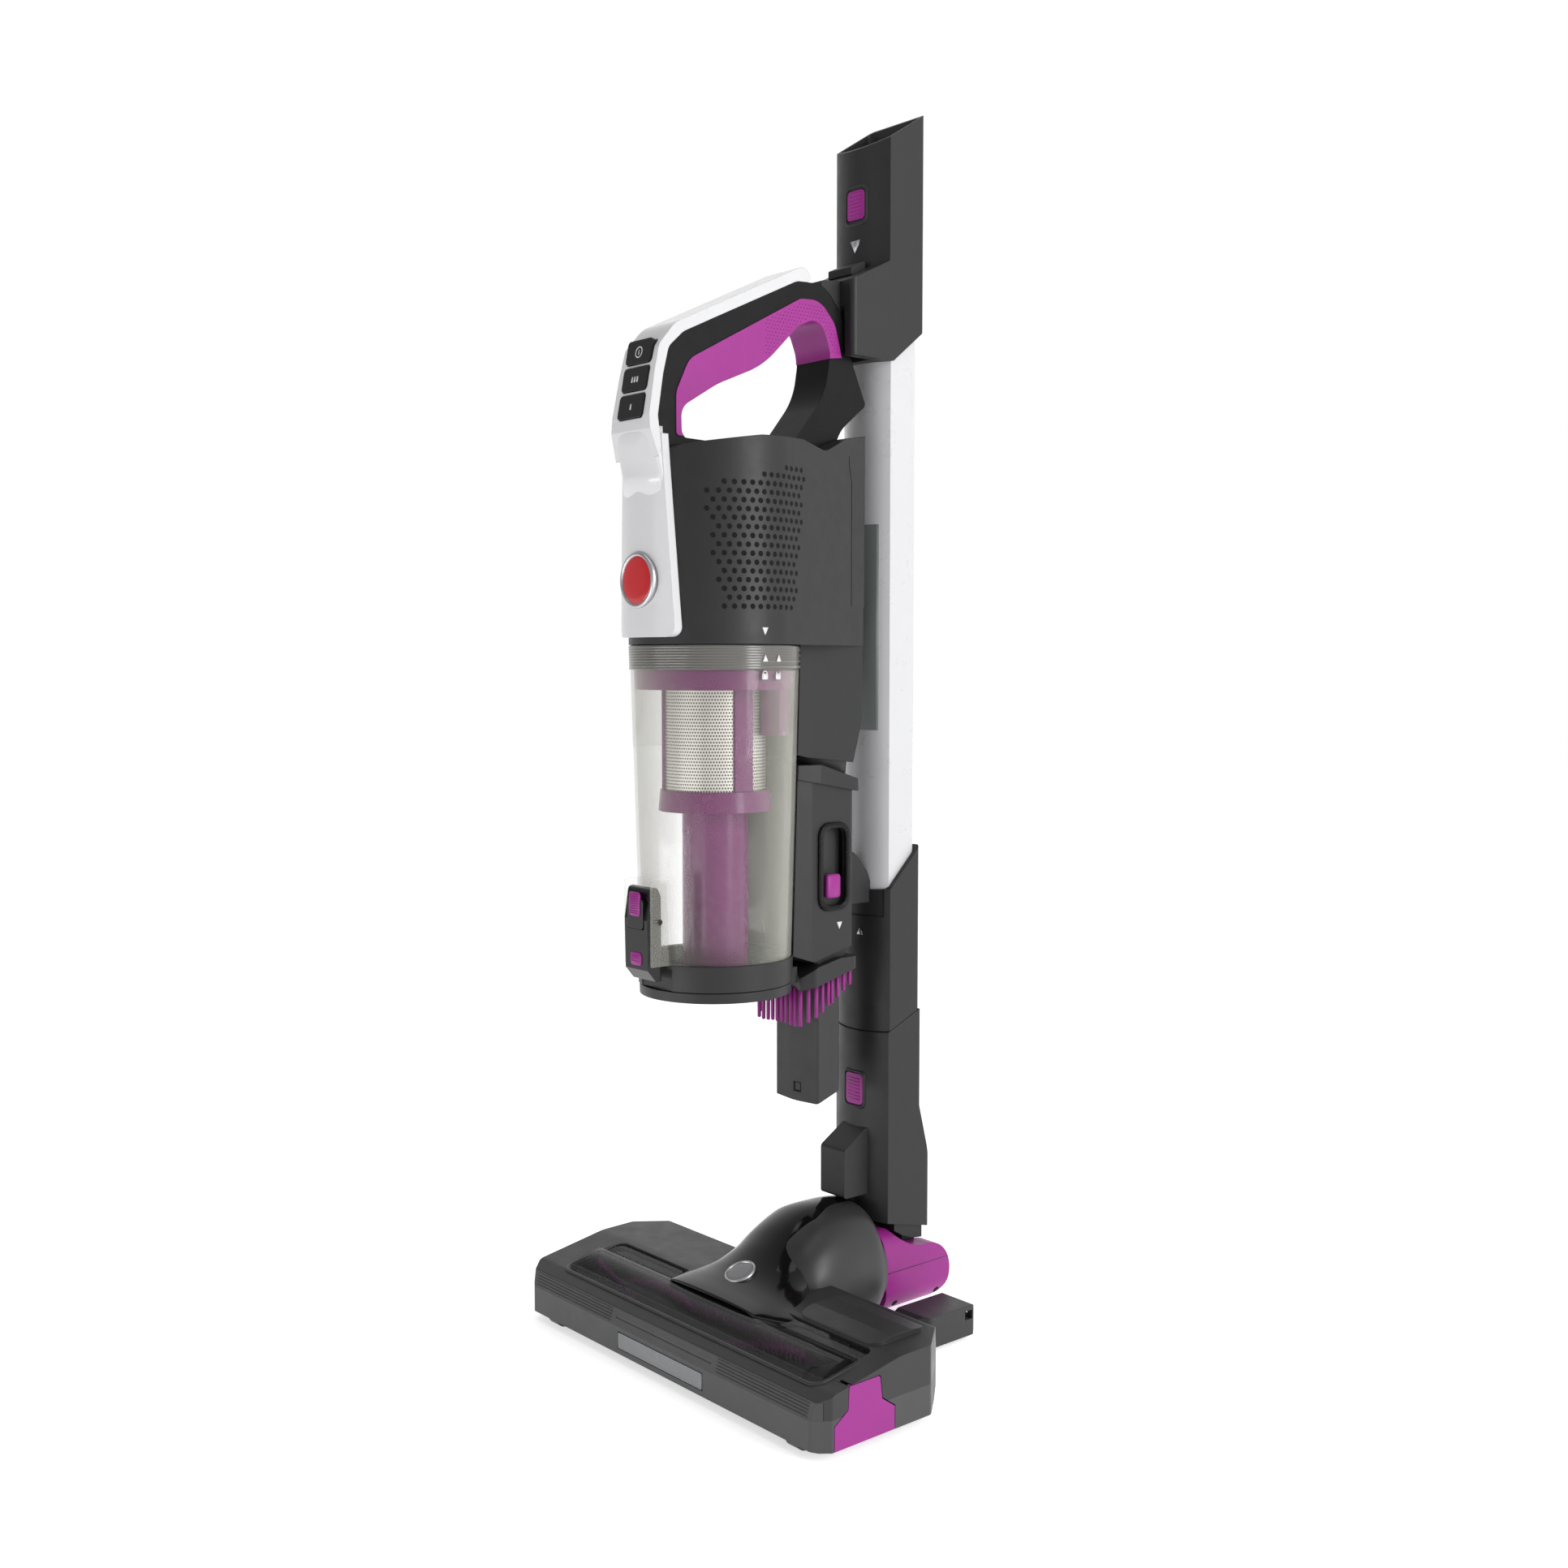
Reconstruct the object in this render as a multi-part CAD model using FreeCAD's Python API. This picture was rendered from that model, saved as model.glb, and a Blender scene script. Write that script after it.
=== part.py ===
import FreeCAD, Part
import math
import os

# Cordless stick vacuum, parked upright with its hand unit docked on the wand.
# Millimetres. +Z is up, the floor is z = 0 and the floorhead's front faces -Y.
# Every shape is drawn about the wand's centre line (x = 0, y = 0) and is moved by WAND_Y when it is
# written, so that the part's origin is the middle of its footprint on the floor.

os.makedirs("parts", exist_ok=True)

# ---- driving dimensions -------------------------------------------------------------------------
WAND_Y = 60.5            # wand centre line behind the part's origin
FIT = 0.05               # radial clearance of a shaft in its hole
GAP = 0.4                # clearance between pieces that move past each other

HEAD_HALF = 128.0        # half the floorhead's width
HEAD_FRONT = -151.5
HEAD_REAR = -54.0
HEAD_SOLE = 4.7          # height of the flat sole above the floor
HEAD_SPLIT = 20.7        # parting line between base and top cover
BRUSH_Y = -121.0         # brush roll axis
BRUSH_Z = 20.0
BRUSH_CORE_R = 9.0
BRUSH_TIP_R = 17.0
BRUSH_LEFT = -104.0
BRUSH_RIGHT = 108.0
FRONT_WHEEL_R = 6.0
FRONT_WHEEL_X = 105.0
FRONT_WHEEL_Y = -143.3
REAR_WHEEL_R = 7.9
REAR_WHEEL_Y = 16.6
REAR_ARM_INNER = 41.0
REAR_ARM_OUTER = 65.0

ROLL_Z = 32.0            # steering axis, along Y
SPIGOT_R = 18.0
PITCH_Y = 28.0           # recline axis, along X
PITCH_Z = 25.0
PITCH_PIN_R = 3.0
SWIVEL_FRONT = -6.0
SWIVEL_TAIL_R = 18.0
TONGUE_HALF = 10.0

SLEEVE_HALF = 22.0       # wand sleeves: half width, side ridge, shallow front crown
SLEEVE_FRONT = -10.5
SLEEVE_RIDGE = -4.0
TUBE_HALF = 19.0
TUBE_REAR = 19.0
TUBE_RIDGE = -1.5
TUBE_FRONT = -8.0
WAND_TOP = 688.0
NECK_TOP = 183.0
LATCH_Y = -17.0          # dock latch pivot
LATCH_Z = 595.5

BIN_Y = -112.0           # dust bin and motor axis
BIN_TOP = 391.0
BIN_BOTTOM = 224.0
BIN_TOP_R = 45.0
BIN_BOTTOM_R = 40.5
BODY_R = 45.5
BODY_BOTTOM = 391.5
SHROUD_R = 27.0
CONE_R = 17.0
MOTOR_R = 30.0
MOTOR_SHAFT_R = 3.0

HANDLE_HALF = 13.5
BUTTON_TILT = 11.0       # lean of the button face, degrees
NOZZLE_HALF = 18.0
NOZZLE_BOTTOM = 137.5


# ---- drawing helpers ----------------------------------------------------------------------------
def outline(points, place):
    """Closed wire through (u, v) or (u, v, radius) points; a radius rounds that corner."""
    count = len(points)
    starts = []
    ends = []
    middles = []
    for i in range(count):
        here = points[i]
        before = points[i - 1]
        after = points[(i + 1) % count]
        radius = here[2] if len(here) > 2 else 0.0
        if radius <= 0:
            starts.append(here[:2])
            ends.append(here[:2])
            middles.append(None)
            continue
        ax, ay = before[0] - here[0], before[1] - here[1]
        bx, by = after[0] - here[0], after[1] - here[1]
        la, lb = math.hypot(ax, ay), math.hypot(bx, by)
        ax, ay, bx, by = ax / la, ay / la, bx / lb, by / lb
        half = math.acos(max(-1.0, min(1.0, ax * bx + ay * by))) / 2
        cut = radius / math.tan(half)
        mx, my = ax + bx, ay + by
        length = math.hypot(mx, my)
        reach = radius / math.sin(half) - radius
        starts.append((here[0] + ax * cut, here[1] + ay * cut))
        ends.append((here[0] + bx * cut, here[1] + by * cut))
        middles.append((here[0] + mx / length * reach, here[1] + my / length * reach))
    edges = []
    for i in range(count):
        if middles[i] is not None:
            edges.append(Part.Arc(place(starts[i]), place(middles[i]), place(ends[i])).toShape())
        a = place(ends[i])
        b = place(starts[(i + 1) % count])
        if a.distanceToPoint(b) > 1e-6:
            edges.append(Part.makeLine(a, b))
    return Part.Wire(edges)


def prism_x(points, x0, x1):
    """Extrude a (y, z) outline from x0 to x1."""
    wire = outline(points, lambda p: FreeCAD.Vector(x0, p[0], p[1]))
    return Part.Face(wire).extrude(FreeCAD.Vector(x1 - x0, 0, 0))


def prism_y(points, y0, y1):
    """Extrude an (x, z) outline from y0 to y1."""
    wire = outline(points, lambda p: FreeCAD.Vector(p[0], y0, p[1]))
    return Part.Face(wire).extrude(FreeCAD.Vector(0, y1 - y0, 0))


def prism_z(points, z0, z1):
    """Extrude an (x, y) outline from z0 to z1."""
    wire = outline(points, lambda p: FreeCAD.Vector(p[0], p[1], z0))
    return Part.Face(wire).extrude(FreeCAD.Vector(0, 0, z1 - z0))


def box(x0, x1, y0, y1, z0, z1):
    return Part.makeBox(x1 - x0, y1 - y0, z1 - z0, FreeCAD.Vector(x0, y0, z0))


def rod_x(y, z, radius, x0, x1):
    return Part.makeCylinder(radius, x1 - x0, FreeCAD.Vector(x0, y, z), FreeCAD.Vector(1, 0, 0))


def rod_y(x, z, radius, y0, y1):
    return Part.makeCylinder(radius, y1 - y0, FreeCAD.Vector(x, y0, z), FreeCAD.Vector(0, 1, 0))


def rod_z(x, y, radius, z0, z1):
    return Part.makeCylinder(radius, z1 - z0, FreeCAD.Vector(x, y, z0))


def cone_z(x, y, z0, r0, z1, r1):
    return Part.makeCone(r0, r1, z1 - z0, FreeCAD.Vector(x, y, z0))


def joined(shapes):
    """One clean solid from touching shapes."""
    return shapes[0].fuse(shapes[1:]).removeSplitter()


def mirrored(shape):
    return shape.mirror(FreeCAD.Vector(0, 0, 0), FreeCAD.Vector(1, 0, 0))


def both_sides(shape):
    return Part.makeCompound([shape, mirrored(shape)])


def rounded_box(x0, x1, y0, y1, z0, z1, radius, along):
    """Box with its four edges along one axis rounded."""
    if along == "x":
        corners = [(y0, z0, radius), (y1, z0, radius), (y1, z1, radius), (y0, z1, radius)]
        return prism_x(corners, x0, x1)
    if along == "y":
        corners = [(x0, z0, radius), (x1, z0, radius), (x1, z1, radius), (x0, z1, radius)]
        return prism_y(corners, y0, y1)
    corners = [(x0, y0, radius), (x1, y0, radius), (x1, y1, radius), (x0, y1, radius)]
    return prism_z(corners, z0, z1)


def d_prism(half, rear, ridge, front, z0, z1, corner=3.0):
    """D section: flat sides and back, and a crowned front that starts at a sharp side ridge."""
    def at(x, y):
        return FreeCAD.Vector(x, y, z0)

    diagonal = corner * (1 - math.sqrt(0.5))
    edges = [
        Part.makeLine(at(half, ridge), at(half, rear - corner)),
        Part.Arc(at(half, rear - corner), at(half - diagonal, rear - diagonal),
                 at(half - corner, rear)).toShape(),
        Part.makeLine(at(half - corner, rear), at(corner - half, rear)),
        Part.Arc(at(corner - half, rear), at(diagonal - half, rear - diagonal),
                 at(-half, rear - corner)).toShape(),
        Part.makeLine(at(-half, rear - corner), at(-half, ridge)),
        Part.Arc(at(-half, ridge), at(0, front), at(half, ridge)).toShape(),
    ]
    return Part.Face(Part.Wire(edges)).extrude(FreeCAD.Vector(0, 0, z1 - z0))


def teardrop(radius, rear_half, rear, z0, z1):
    """Motor body section: a round front about the bin axis that tapers to a narrow flat back."""
    px, py = rear_half, rear - BIN_Y
    distance = math.hypot(px, py)
    angle = math.atan2(py, px) - math.acos(radius / distance)
    tx, ty = radius * math.cos(angle), BIN_Y + radius * math.sin(angle)

    def at(x, y):
        return FreeCAD.Vector(x, y, z0)

    edges = [
        Part.makeLine(at(tx, ty), at(rear_half, rear)),
        Part.makeLine(at(rear_half, rear), at(-rear_half, rear)),
        Part.makeLine(at(-rear_half, rear), at(-tx, ty)),
        Part.Arc(at(-tx, ty), at(0, BIN_Y - radius), at(tx, ty)).toShape(),
    ]
    return Part.Face(Part.Wire(edges)).extrude(FreeCAD.Vector(0, 0, z1 - z0))


def tilted(shape, y, z):
    """Lean a shape drawn upright at (y, z) back by the button face's tilt."""
    leaned = shape.copy()
    leaned.rotate(FreeCAD.Vector(0, y, z), FreeCAD.Vector(1, 0, 0), -BUTTON_TILT)
    return leaned


written = []


def write(name, shape):
    placed = shape.copy()
    placed.translate(FreeCAD.Vector(0, WAND_Y, 0))
    placed.exportStep("parts/%s.step" % name)
    written.append((name, placed))


# ---- floorhead ----------------------------------------------------------------------------------
def head_envelope():
    """Outer block of the floorhead, with its chamfered nose, sloping top and clipped corners."""
    side = prism_x([
        (HEAD_FRONT, 5.5), (HEAD_FRONT, HEAD_SPLIT), (-149.0, 29.4), (-141.0, 33.0, 6.0),
        (-98.0, 40.5, 30.0), (-57.0, 41.2, 3.0), (-52.5, 22.0), (HEAD_REAR, 8.0),
        (-62.0, HEAD_SOLE), (-148.0, HEAD_SOLE)], -HEAD_HALF, HEAD_HALF)
    plan = prism_z([
        (-121.0, HEAD_FRONT, 2.0), (121.0, HEAD_FRONT, 2.0), (HEAD_HALF, -143.0, 2.0),
        (HEAD_HALF, -76.0, 4.0), (108.0, -52.0, 6.0), (-108.0, -52.0, 6.0),
        (-HEAD_HALF, -76.0, 4.0), (-HEAD_HALF, -143.0, 2.0)], 0, 60)
    return side.common(plan)


def latch_outline(grow):
    """Side outline (y, z) of the brush release latch, wide at the foot and necked above."""
    return [
        (-141.5 - grow, HEAD_SOLE - grow), (-101.5 + grow, HEAD_SOLE - grow),
        (-101.5 + grow, 16.5 + grow), (-110.0 + grow, 22.5 + grow),
        (-111.5 + grow, 34.5 + grow, 1.5), (-132.0 - grow, 34.5 + grow, 1.5),
        (-132.5 - grow, 23.0 + grow), (-141.5 - grow, 17.0 + grow)]


envelope = head_envelope()
chamber = rod_x(BRUSH_Y, BRUSH_Z, BRUSH_TIP_R + 2.0, BRUSH_LEFT - 2, BRUSH_RIGHT + 2)
latch_pocket = prism_x(latch_outline(GAP), HEAD_HALF - 8, HEAD_HALF + 2)
motor_bay = box(24, 112, -100, -60, 8, 40)
board_bay = box(-112, -24, -100, -60, 8, 30)
wheel_wells = both_sides(
    box(FRONT_WHEEL_X - 5.5, FRONT_WHEEL_X + 5.5, FRONT_WHEEL_Y - 7, FRONT_WHEEL_Y + 7.2, -1, 13))
front_axles = both_sides(
    rod_x(FRONT_WHEEL_Y, FRONT_WHEEL_R, 1.5, FRONT_WHEEL_X - 6.5, FRONT_WHEEL_X + 6.5))

light_slot = box(-37, 38, HEAD_FRONT - 1, HEAD_FRONT + 5, 8.5, 18.1)
base = envelope.common(box(-200, 200, -200, 0, 0, HEAD_SPLIT))
base = base.cut([
    chamber,
    box(BRUSH_LEFT - 2, BRUSH_RIGHT + 2, BRUSH_Y - 15, BRUSH_Y + 15, 0, 14),
    motor_bay, board_bay, latch_pocket, wheel_wells, light_slot,
    box(-101, 101, -98.2, -95.2, 0, 9),
    box(91, 107, -108, -98, 10, 32),
    rod_x(BRUSH_Y, BRUSH_Z, 5.0, BRUSH_LEFT - 12, BRUSH_LEFT),
    rod_x(BRUSH_Y, BRUSH_Z, 5.0, BRUSH_RIGHT, HEAD_HALF - 7)])
base = base.fuse(front_axles.Solids)
screw_places = [(-116, -84), (116, -84), (-60, -57.5), (60, -57.5)]
screws = [rod_z(x, y, 2.6, HEAD_SOLE + 0.4, HEAD_SOLE + 2.4).fuse(
    rod_z(x, y, 1.4, HEAD_SOLE + 2.4, 16)) for x, y in screw_places]
screw_holes = [rod_z(x, y, 3.0, 0, HEAD_SOLE + 2.4).fuse(
    rod_z(x, y, 1.4, HEAD_SOLE + 2.4, 16)) for x, y in screw_places]
base = base.cut(screw_holes)
write("head_base", base)
write("base_screws", Part.makeCompound(screws))
write("sole_squeegee", box(-100.8, 100.8, -98, -95.4, 0, 8.8))

light_lens = prism_y([(-36.5, 9, 1), (37.5, 9, 1), (37.5, 17.6, 1), (-36.5, 17.6, 1)],
                     HEAD_FRONT - 0.2, HEAD_FRONT + 1.8)
write("light_lens", light_lens)
light_board = box(-34, 35, HEAD_FRONT + 3.4, HEAD_FRONT + 4.8, 8.5, 17.5)
leds = [box(x - 2, x + 2, HEAD_FRONT + 2.2, HEAD_FRONT + 3.4, 11, 15) for x in (-24, -8, 8, 24)]
write("light_board", joined([light_board] + leds))

# top cover: thin shell with the brush window and the dome's seat left open
upper = envelope.common(box(-200, 200, -200, 0, HEAD_SPLIT, 60))
hollow = prism_x([
    (-147.0, 0), (-147.0, 26.0), (-139.5, 30.6), (-98.0, 38.0, 30.0), (-59.5, 38.8),
    (-55.5, 22.0), (-55.5, 0)], 3 - HEAD_HALF, HEAD_HALF - 3)
hollow = hollow.common(prism_z([
    (-118.0, -148.0), (118.0, -148.0), (HEAD_HALF - 3, -141.0), (HEAD_HALF - 3, -77.5),
    (106.0, -55.0), (-106.0, -55.0), (3 - HEAD_HALF, -77.5), (3 - HEAD_HALF, -141.0)], 0, 60))
window_hole = rounded_box(-103, 113, -140.2, -101.0, 26, 60, 5, "z")
bumper_band = box(-200, 200, -160, -146.2, HEAD_SPLIT, 29.4)
bridge_seat = box(-34, 30, -101.5, -40, 30, 60)
cover = upper.cut([hollow, window_hole, latch_pocket, bumper_band, bridge_seat])
cover = cover.fuse(rounded_box(52, 112, -100, -62, 36, 43.5, 8, "z").common(
    prism_x([(-101, 36), (-101, 41, 3), (-82, 44.5, 8), (-62, 42, 4), (-62, 36)], 50, 114)))
cover = cover.cut([motor_bay])
write("head_top_cover", cover.removeSplitter())

bumper = upper.common(box(-200, 200, -160, -146.4, HEAD_SPLIT, 29.4))
notch = box(-40, 44, -160, -150.0, 24.5, 40)
write("bumper_strip", bumper.cut([notch, hollow]))

# clear window: a half-round hood over the brush with flat flanges
hood = rod_x(BRUSH_Y, BRUSH_Z, BRUSH_TIP_R + 3.2, -102.7, 112.7)
hood = hood.fuse(prism_x([(-140, 27), (-140, 32.6), (-136, 34.2), (-106, 38.6), (-101.3, 38.9),
                          (-101.3, 27)], -102.7, 112.7))
hood = hood.common(box(-102.7, 112.7, -140, -101.3, 27, 60))
hood = hood.cut([
    rod_x(BRUSH_Y, BRUSH_Z, BRUSH_TIP_R + 1.4, -101.2, 111.2),
    prism_x([(-138.6, 20), (-138.6, 30.6), (-134, 32.5), (-108, 36.8), (-102.8, 37.2), (-102.8, 20)],
            -101.2, 111.2)])
hood = hood.cut([cover, box(90, 108, -106, -100, 20, 32)])
write("brush_window", hood)

# brush drive, all inside the head
write("brush_motor", joined([
    rod_x(-80, 24, 13, 30, 84),
    rod_x(-80, 24, 5, 84, 88)]).cut(rod_x(-80, 24, 1.5 + FIT, 76, 89)))
motor_pulley = joined([rod_x(-80, 24, 1.5, 78, 92), rod_x(-80, 24, 5, 92, 104),
                       rod_x(-80, 24, 6.5, 91, 92), rod_x(-80, 24, 6.5, 104, 105)])
write("motor_pulley", motor_pulley)

brush_pulley_r = 7.5
brush = joined([
    rod_x(BRUSH_Y, BRUSH_Z, BRUSH_CORE_R, BRUSH_LEFT + 4, 88),
    rod_x(BRUSH_Y, BRUSH_Z, 5.0 - FIT, BRUSH_LEFT - 8, BRUSH_LEFT + 4),
    rod_x(BRUSH_Y, BRUSH_Z, 3.0, 88, BRUSH_RIGHT),
    rod_x(BRUSH_Y, BRUSH_Z, 5.0 - FIT, BRUSH_RIGHT, BRUSH_RIGHT + 9)])
write("brush_bristles", rod_x(BRUSH_Y, BRUSH_Z, BRUSH_TIP_R, BRUSH_LEFT + 4, 84).cut(
    rod_x(BRUSH_Y, BRUSH_Z, BRUSH_CORE_R, BRUSH_LEFT, 90)))
write("brush_core", joined([
    brush,
    rod_x(BRUSH_Y, BRUSH_Z, brush_pulley_r, 92, 104),
    rod_x(BRUSH_Y, BRUSH_Z, 9, 91, 92),
    rod_x(BRUSH_Y, BRUSH_Z, 9, 104, 105)]))


def belt_loop(grow):
    """Outline of a belt around both pulleys, grown outwards; straight spans are common tangents."""
    dy, dz = -80 - BRUSH_Y, 24 - BRUSH_Z
    span = math.hypot(dy, dz)
    big, small = brush_pulley_r + grow, 5.0 + grow
    lean = math.atan2(dz, dy)
    spread = math.acos((big - small) / span)
    points = []
    for centre, radius, turn in (((BRUSH_Y, BRUSH_Z), big, spread), ((-80, 24), small, spread),
                                 ((-80, 24), small, -spread), ((BRUSH_Y, BRUSH_Z), big, -spread)):
        angle = lean + turn
        points.append((centre[0] + radius * math.cos(angle), centre[1] + radius * math.sin(angle)))

    def at(p):
        return FreeCAD.Vector(93, p[0], p[1])

    small_end = (-80 + small * math.cos(lean), 24 + small * math.sin(lean))
    big_end = (BRUSH_Y - big * math.cos(lean), BRUSH_Z - big * math.sin(lean))
    edges = [
        Part.makeLine(at(points[0]), at(points[1])),
        Part.Arc(at(points[1]), at(small_end), at(points[2])).toShape(),
        Part.makeLine(at(points[2]), at(points[3])),
        Part.Arc(at(points[3]), at(big_end), at(points[0])).toShape(),
    ]
    return Part.Face(Part.Wire(edges)).extrude(FreeCAD.Vector(10, 0, 0))


write("drive_belt", belt_loop(1.7).cut(belt_loop(0.3)))

write("brush_release_latch", prism_x(latch_outline(0), HEAD_HALF - 2.4, HEAD_HALF).fuse(
    box(HEAD_HALF - 7.6, HEAD_HALF - 2.4, -128, -114, 12, 28)).cut(
    rod_x(BRUSH_Y, BRUSH_Z, 5.0 + FIT, HEAD_HALF - 12, HEAD_HALF - 4)))

front_wheel = rod_x(FRONT_WHEEL_Y, FRONT_WHEEL_R, FRONT_WHEEL_R, FRONT_WHEEL_X - 4.5,
                    FRONT_WHEEL_X + 4.5)
front_wheel = front_wheel.cut(rod_x(FRONT_WHEEL_Y, FRONT_WHEEL_R, 1.5 + FIT, 90, 120))
write("front_wheel_right", front_wheel)
write("front_wheel_left", mirrored(front_wheel))


def rear_arm():
    """Arm from the head's back to a wheel box, drawn on the right side."""
    arm = prism_z([(44, -56), (56, -56), (56, -18, 3), (REAR_ARM_OUTER, -12, 3),
                   (REAR_ARM_OUTER, 22, 3), (62, 25.5, 1.5), (44, 25.5, 2), (REAR_ARM_INNER, 22, 2),
                   (REAR_ARM_INNER, -16, 2)], 2.5, 20)
    side = prism_x([(-60, 5), (-60, 18), (-18, 18), (-14, 20), (22, 20, 3), (26, 15, 3), (26, 6),
                    (22, 2.5), (-14, 2.5), (-20, 5)], 30, 80)
    arm = arm.common(side)
    arm = arm.cut([
        envelope,
        box(47, 61, REAR_WHEEL_Y - 9, REAR_WHEEL_Y + 12, -1, 17.2),
        box(61, 70, REAR_WHEEL_Y - 1.5, REAR_WHEEL_Y + 4.5, 12.0, 17.0)])
    axle = rod_x(REAR_WHEEL_Y, REAR_WHEEL_R, 2.0, 45, 64)
    return arm.fuse(axle)


arm = rear_arm()
write("rear_arm_right", arm)
write("rear_arm_left", mirrored(arm))
rear_wheel = rod_x(REAR_WHEEL_Y, REAR_WHEEL_R, REAR_WHEEL_R, 48, 60)
rear_wheel = rear_wheel.cut(rod_x(REAR_WHEEL_Y, REAR_WHEEL_R, 2.0 + FIT, 40, 70))
write("rear_wheel_right", rear_wheel)
write("rear_wheel_left", mirrored(rear_wheel))


# pivot housing: a bell about the steering axis that carries the swivel's spigot
def housing_solid(grow):
    profile = [(-58, 30.5 + grow), (-46, 32.0 + grow), (-30, 31.0 + grow), (-18, 28.0 + grow),
               (-8.5, 25.6 + grow), (SWIVEL_FRONT - GAP, 25.0 + grow)]
    curve = Part.BSplineCurve()
    curve.interpolate([FreeCAD.Vector(0, y, ROLL_Z + r) for y, r in profile])
    start = FreeCAD.Vector(0, profile[0][0], ROLL_Z)
    end = FreeCAD.Vector(0, profile[-1][0], ROLL_Z)
    face = Part.Face(Part.Wire([
        Part.makeLine(start, FreeCAD.Vector(0, profile[0][0], ROLL_Z + profile[0][1])),
        curve.toShape(),
        Part.makeLine(FreeCAD.Vector(0, profile[-1][0], ROLL_Z + profile[-1][1]), end),
        Part.makeLine(end, start)]))
    bell = face.revolve(FreeCAD.Vector(0, 0, ROLL_Z), FreeCAD.Vector(0, 1, 0), 360)
    return bell.common(box(-60, 60, -90, 0, 7 - grow, 90))


def arch(y, half, top, base):
    """Bell-shaped arch wire in the plane y, flared at its feet."""
    steps = 12
    points = []
    for i in range(steps + 1):
        t = -1 + 2 * i / steps
        rise = math.cos(t * math.pi / 2) ** 0.85 if abs(t) < 1 else 0.0
        points.append(FreeCAD.Vector(half * math.sin(t * math.pi / 2) * (1 + 0.25 * t * t), y,
                                     base + (top - base) * rise))
    curve = Part.BSplineCurve()
    curve.interpolate(points)
    return Part.Wire([curve.toShape(), Part.makeLine(points[-1], points[0])])


def dome_solid(shrink):
    """Sweeping cover from the window's edge up over the pivot housing."""
    stations = [(-108, 62, 40.5), (-99, 55, 42.0), (-90, 49, 45.5), (-78, 42, 53.0),
                (-65, 36, 63.5), (-52, 33, 72.5), (-40, 31, 76.0), (-30, 30, 73.5),
                (-22, 27, 67.0)]
    wires = [arch(y + shrink * 0.2, half - shrink, top - shrink, 30.0 - shrink)
             for y, half, top in stations]
    return Part.makeLoft(wires, True, True)


housing = housing_solid(0)
housing_core = joined([
    rod_y(0, ROLL_Z, SPIGOT_R + FIT, -30, 0),
    rod_y(0, ROLL_Z, 14.0, -70, -29)])
housing = housing.cut([housing_core, envelope, housing_solid(-3).common(box(-60, 60, -90, -32, 0, 90))])
write("pivot_housing", housing)

dome = dome_solid(0).cut([dome_solid(2.4), housing_solid(0.05)])
dome = dome.cut([upper.cut([hollow, bridge_seat]), box(-100, 100, -120, -40, 0, 36), hood,
                 rod_x(-80, 24, 13.4, 28, 90)])
dome_pieces = sorted(dome.Solids, key=lambda s: -s.Volume)
write("dome_cover", dome_pieces[0])
badge = rod_z(0, 0, 9.0, -1.5, 0.9)
badge.rotate(FreeCAD.Vector(0, 0, 0), FreeCAD.Vector(1, 0, 0), 31)
badge.translate(FreeCAD.Vector(0, -88, 46.8))
write("dome_badge", badge.cut(dome_solid(0)))


# ---- swivel and neck ----------------------------------------------------------------------------
def swivel_envelope(inset):
    """Swivel casing: tall at its front flange, low and round at its tail about the recline axis."""
    r = SWIVEL_TAIL_R - inset
    front = SWIVEL_FRONT + inset
    low = PITCH_Z - r

    def at(y, z):
        return FreeCAD.Vector(-40, y, z)

    edges = [
        Part.makeLine(at(front, low), at(front, 57.0 - inset)),
        Part.makeLine(at(front, 57.0 - inset), at(2, 55.0 - inset)),
        Part.Arc(at(2, 55.0 - inset), at(12, 46.5 - inset), at(PITCH_Y, PITCH_Z + r)).toShape(),
        Part.Arc(at(PITCH_Y, PITCH_Z + r), at(PITCH_Y + r, PITCH_Z), at(PITCH_Y, low)).toShape(),
        Part.makeLine(at(PITCH_Y, low), at(front, low)),
    ]
    side = Part.Face(Part.Wire(edges)).extrude(FreeCAD.Vector(80, 0, 0))
    half = 23.0 - inset
    section = prism_y([(-half, low, 13.0), (half, low, 13.0), (half, 57.0 - inset, 17.0),
                       (-half, 57.0 - inset, 17.0)], -20, 70)
    return side.common(section)


swivel = swivel_envelope(0).cut(swivel_envelope(2.4))
spigot = rod_y(0, ROLL_Z, SPIGOT_R, -28, SWIVEL_FRONT + 3).cut(
    rod_y(0, ROLL_Z, 14.5, -30, SWIVEL_FRONT + 4))
swivel = joined([swivel.cut(rod_y(0, ROLL_Z, 14.5, -30, SWIVEL_FRONT + 6)), spigot])
bosses = both_sides(rod_x(PITCH_Y, PITCH_Z, 6.5, TONGUE_HALF + 1, 21.5))
swivel = swivel.fuse(bosses.Solids)
tongue_slot = prism_x([(16.5, 13.5), (60, 13.5), (60, 70), (16.5, 70)], -TONGUE_HALF - 1, TONGUE_HALF + 1)
pin_hole = rod_x(PITCH_Y, PITCH_Z, PITCH_PIN_R, -24, 19)
swivel = swivel.cut([tongue_slot, pin_hole])
screw_pockets = [rod_z(x, y, 2.4, 0, 10) for x in (-14, 14) for y in (2, 36)]
swivel = swivel.cut(screw_pockets)
split = box(-60, 60, -60, 80, ROLL_Z, 90)
write("swivel_upper_shell", swivel.common(split))
write("swivel_lower_shell", swivel.cut(split))
write("recline_pin", rod_x(PITCH_Y, PITCH_Z, PITCH_PIN_R, -22.6, 18.8))


def neck_profile(inset):
    """Side outline of the neck; its foot slopes down to the rear above the swivel's low tail."""
    return prism_x([
        (-12, 62.0 + inset), (-12, NECK_TOP), (21 - inset, NECK_TOP), (21 - inset, 126),
        (30 - inset, 91.5), (30 - inset, 53.0 + inset), (-4, 61.0 + inset)], -40, 40)


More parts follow.
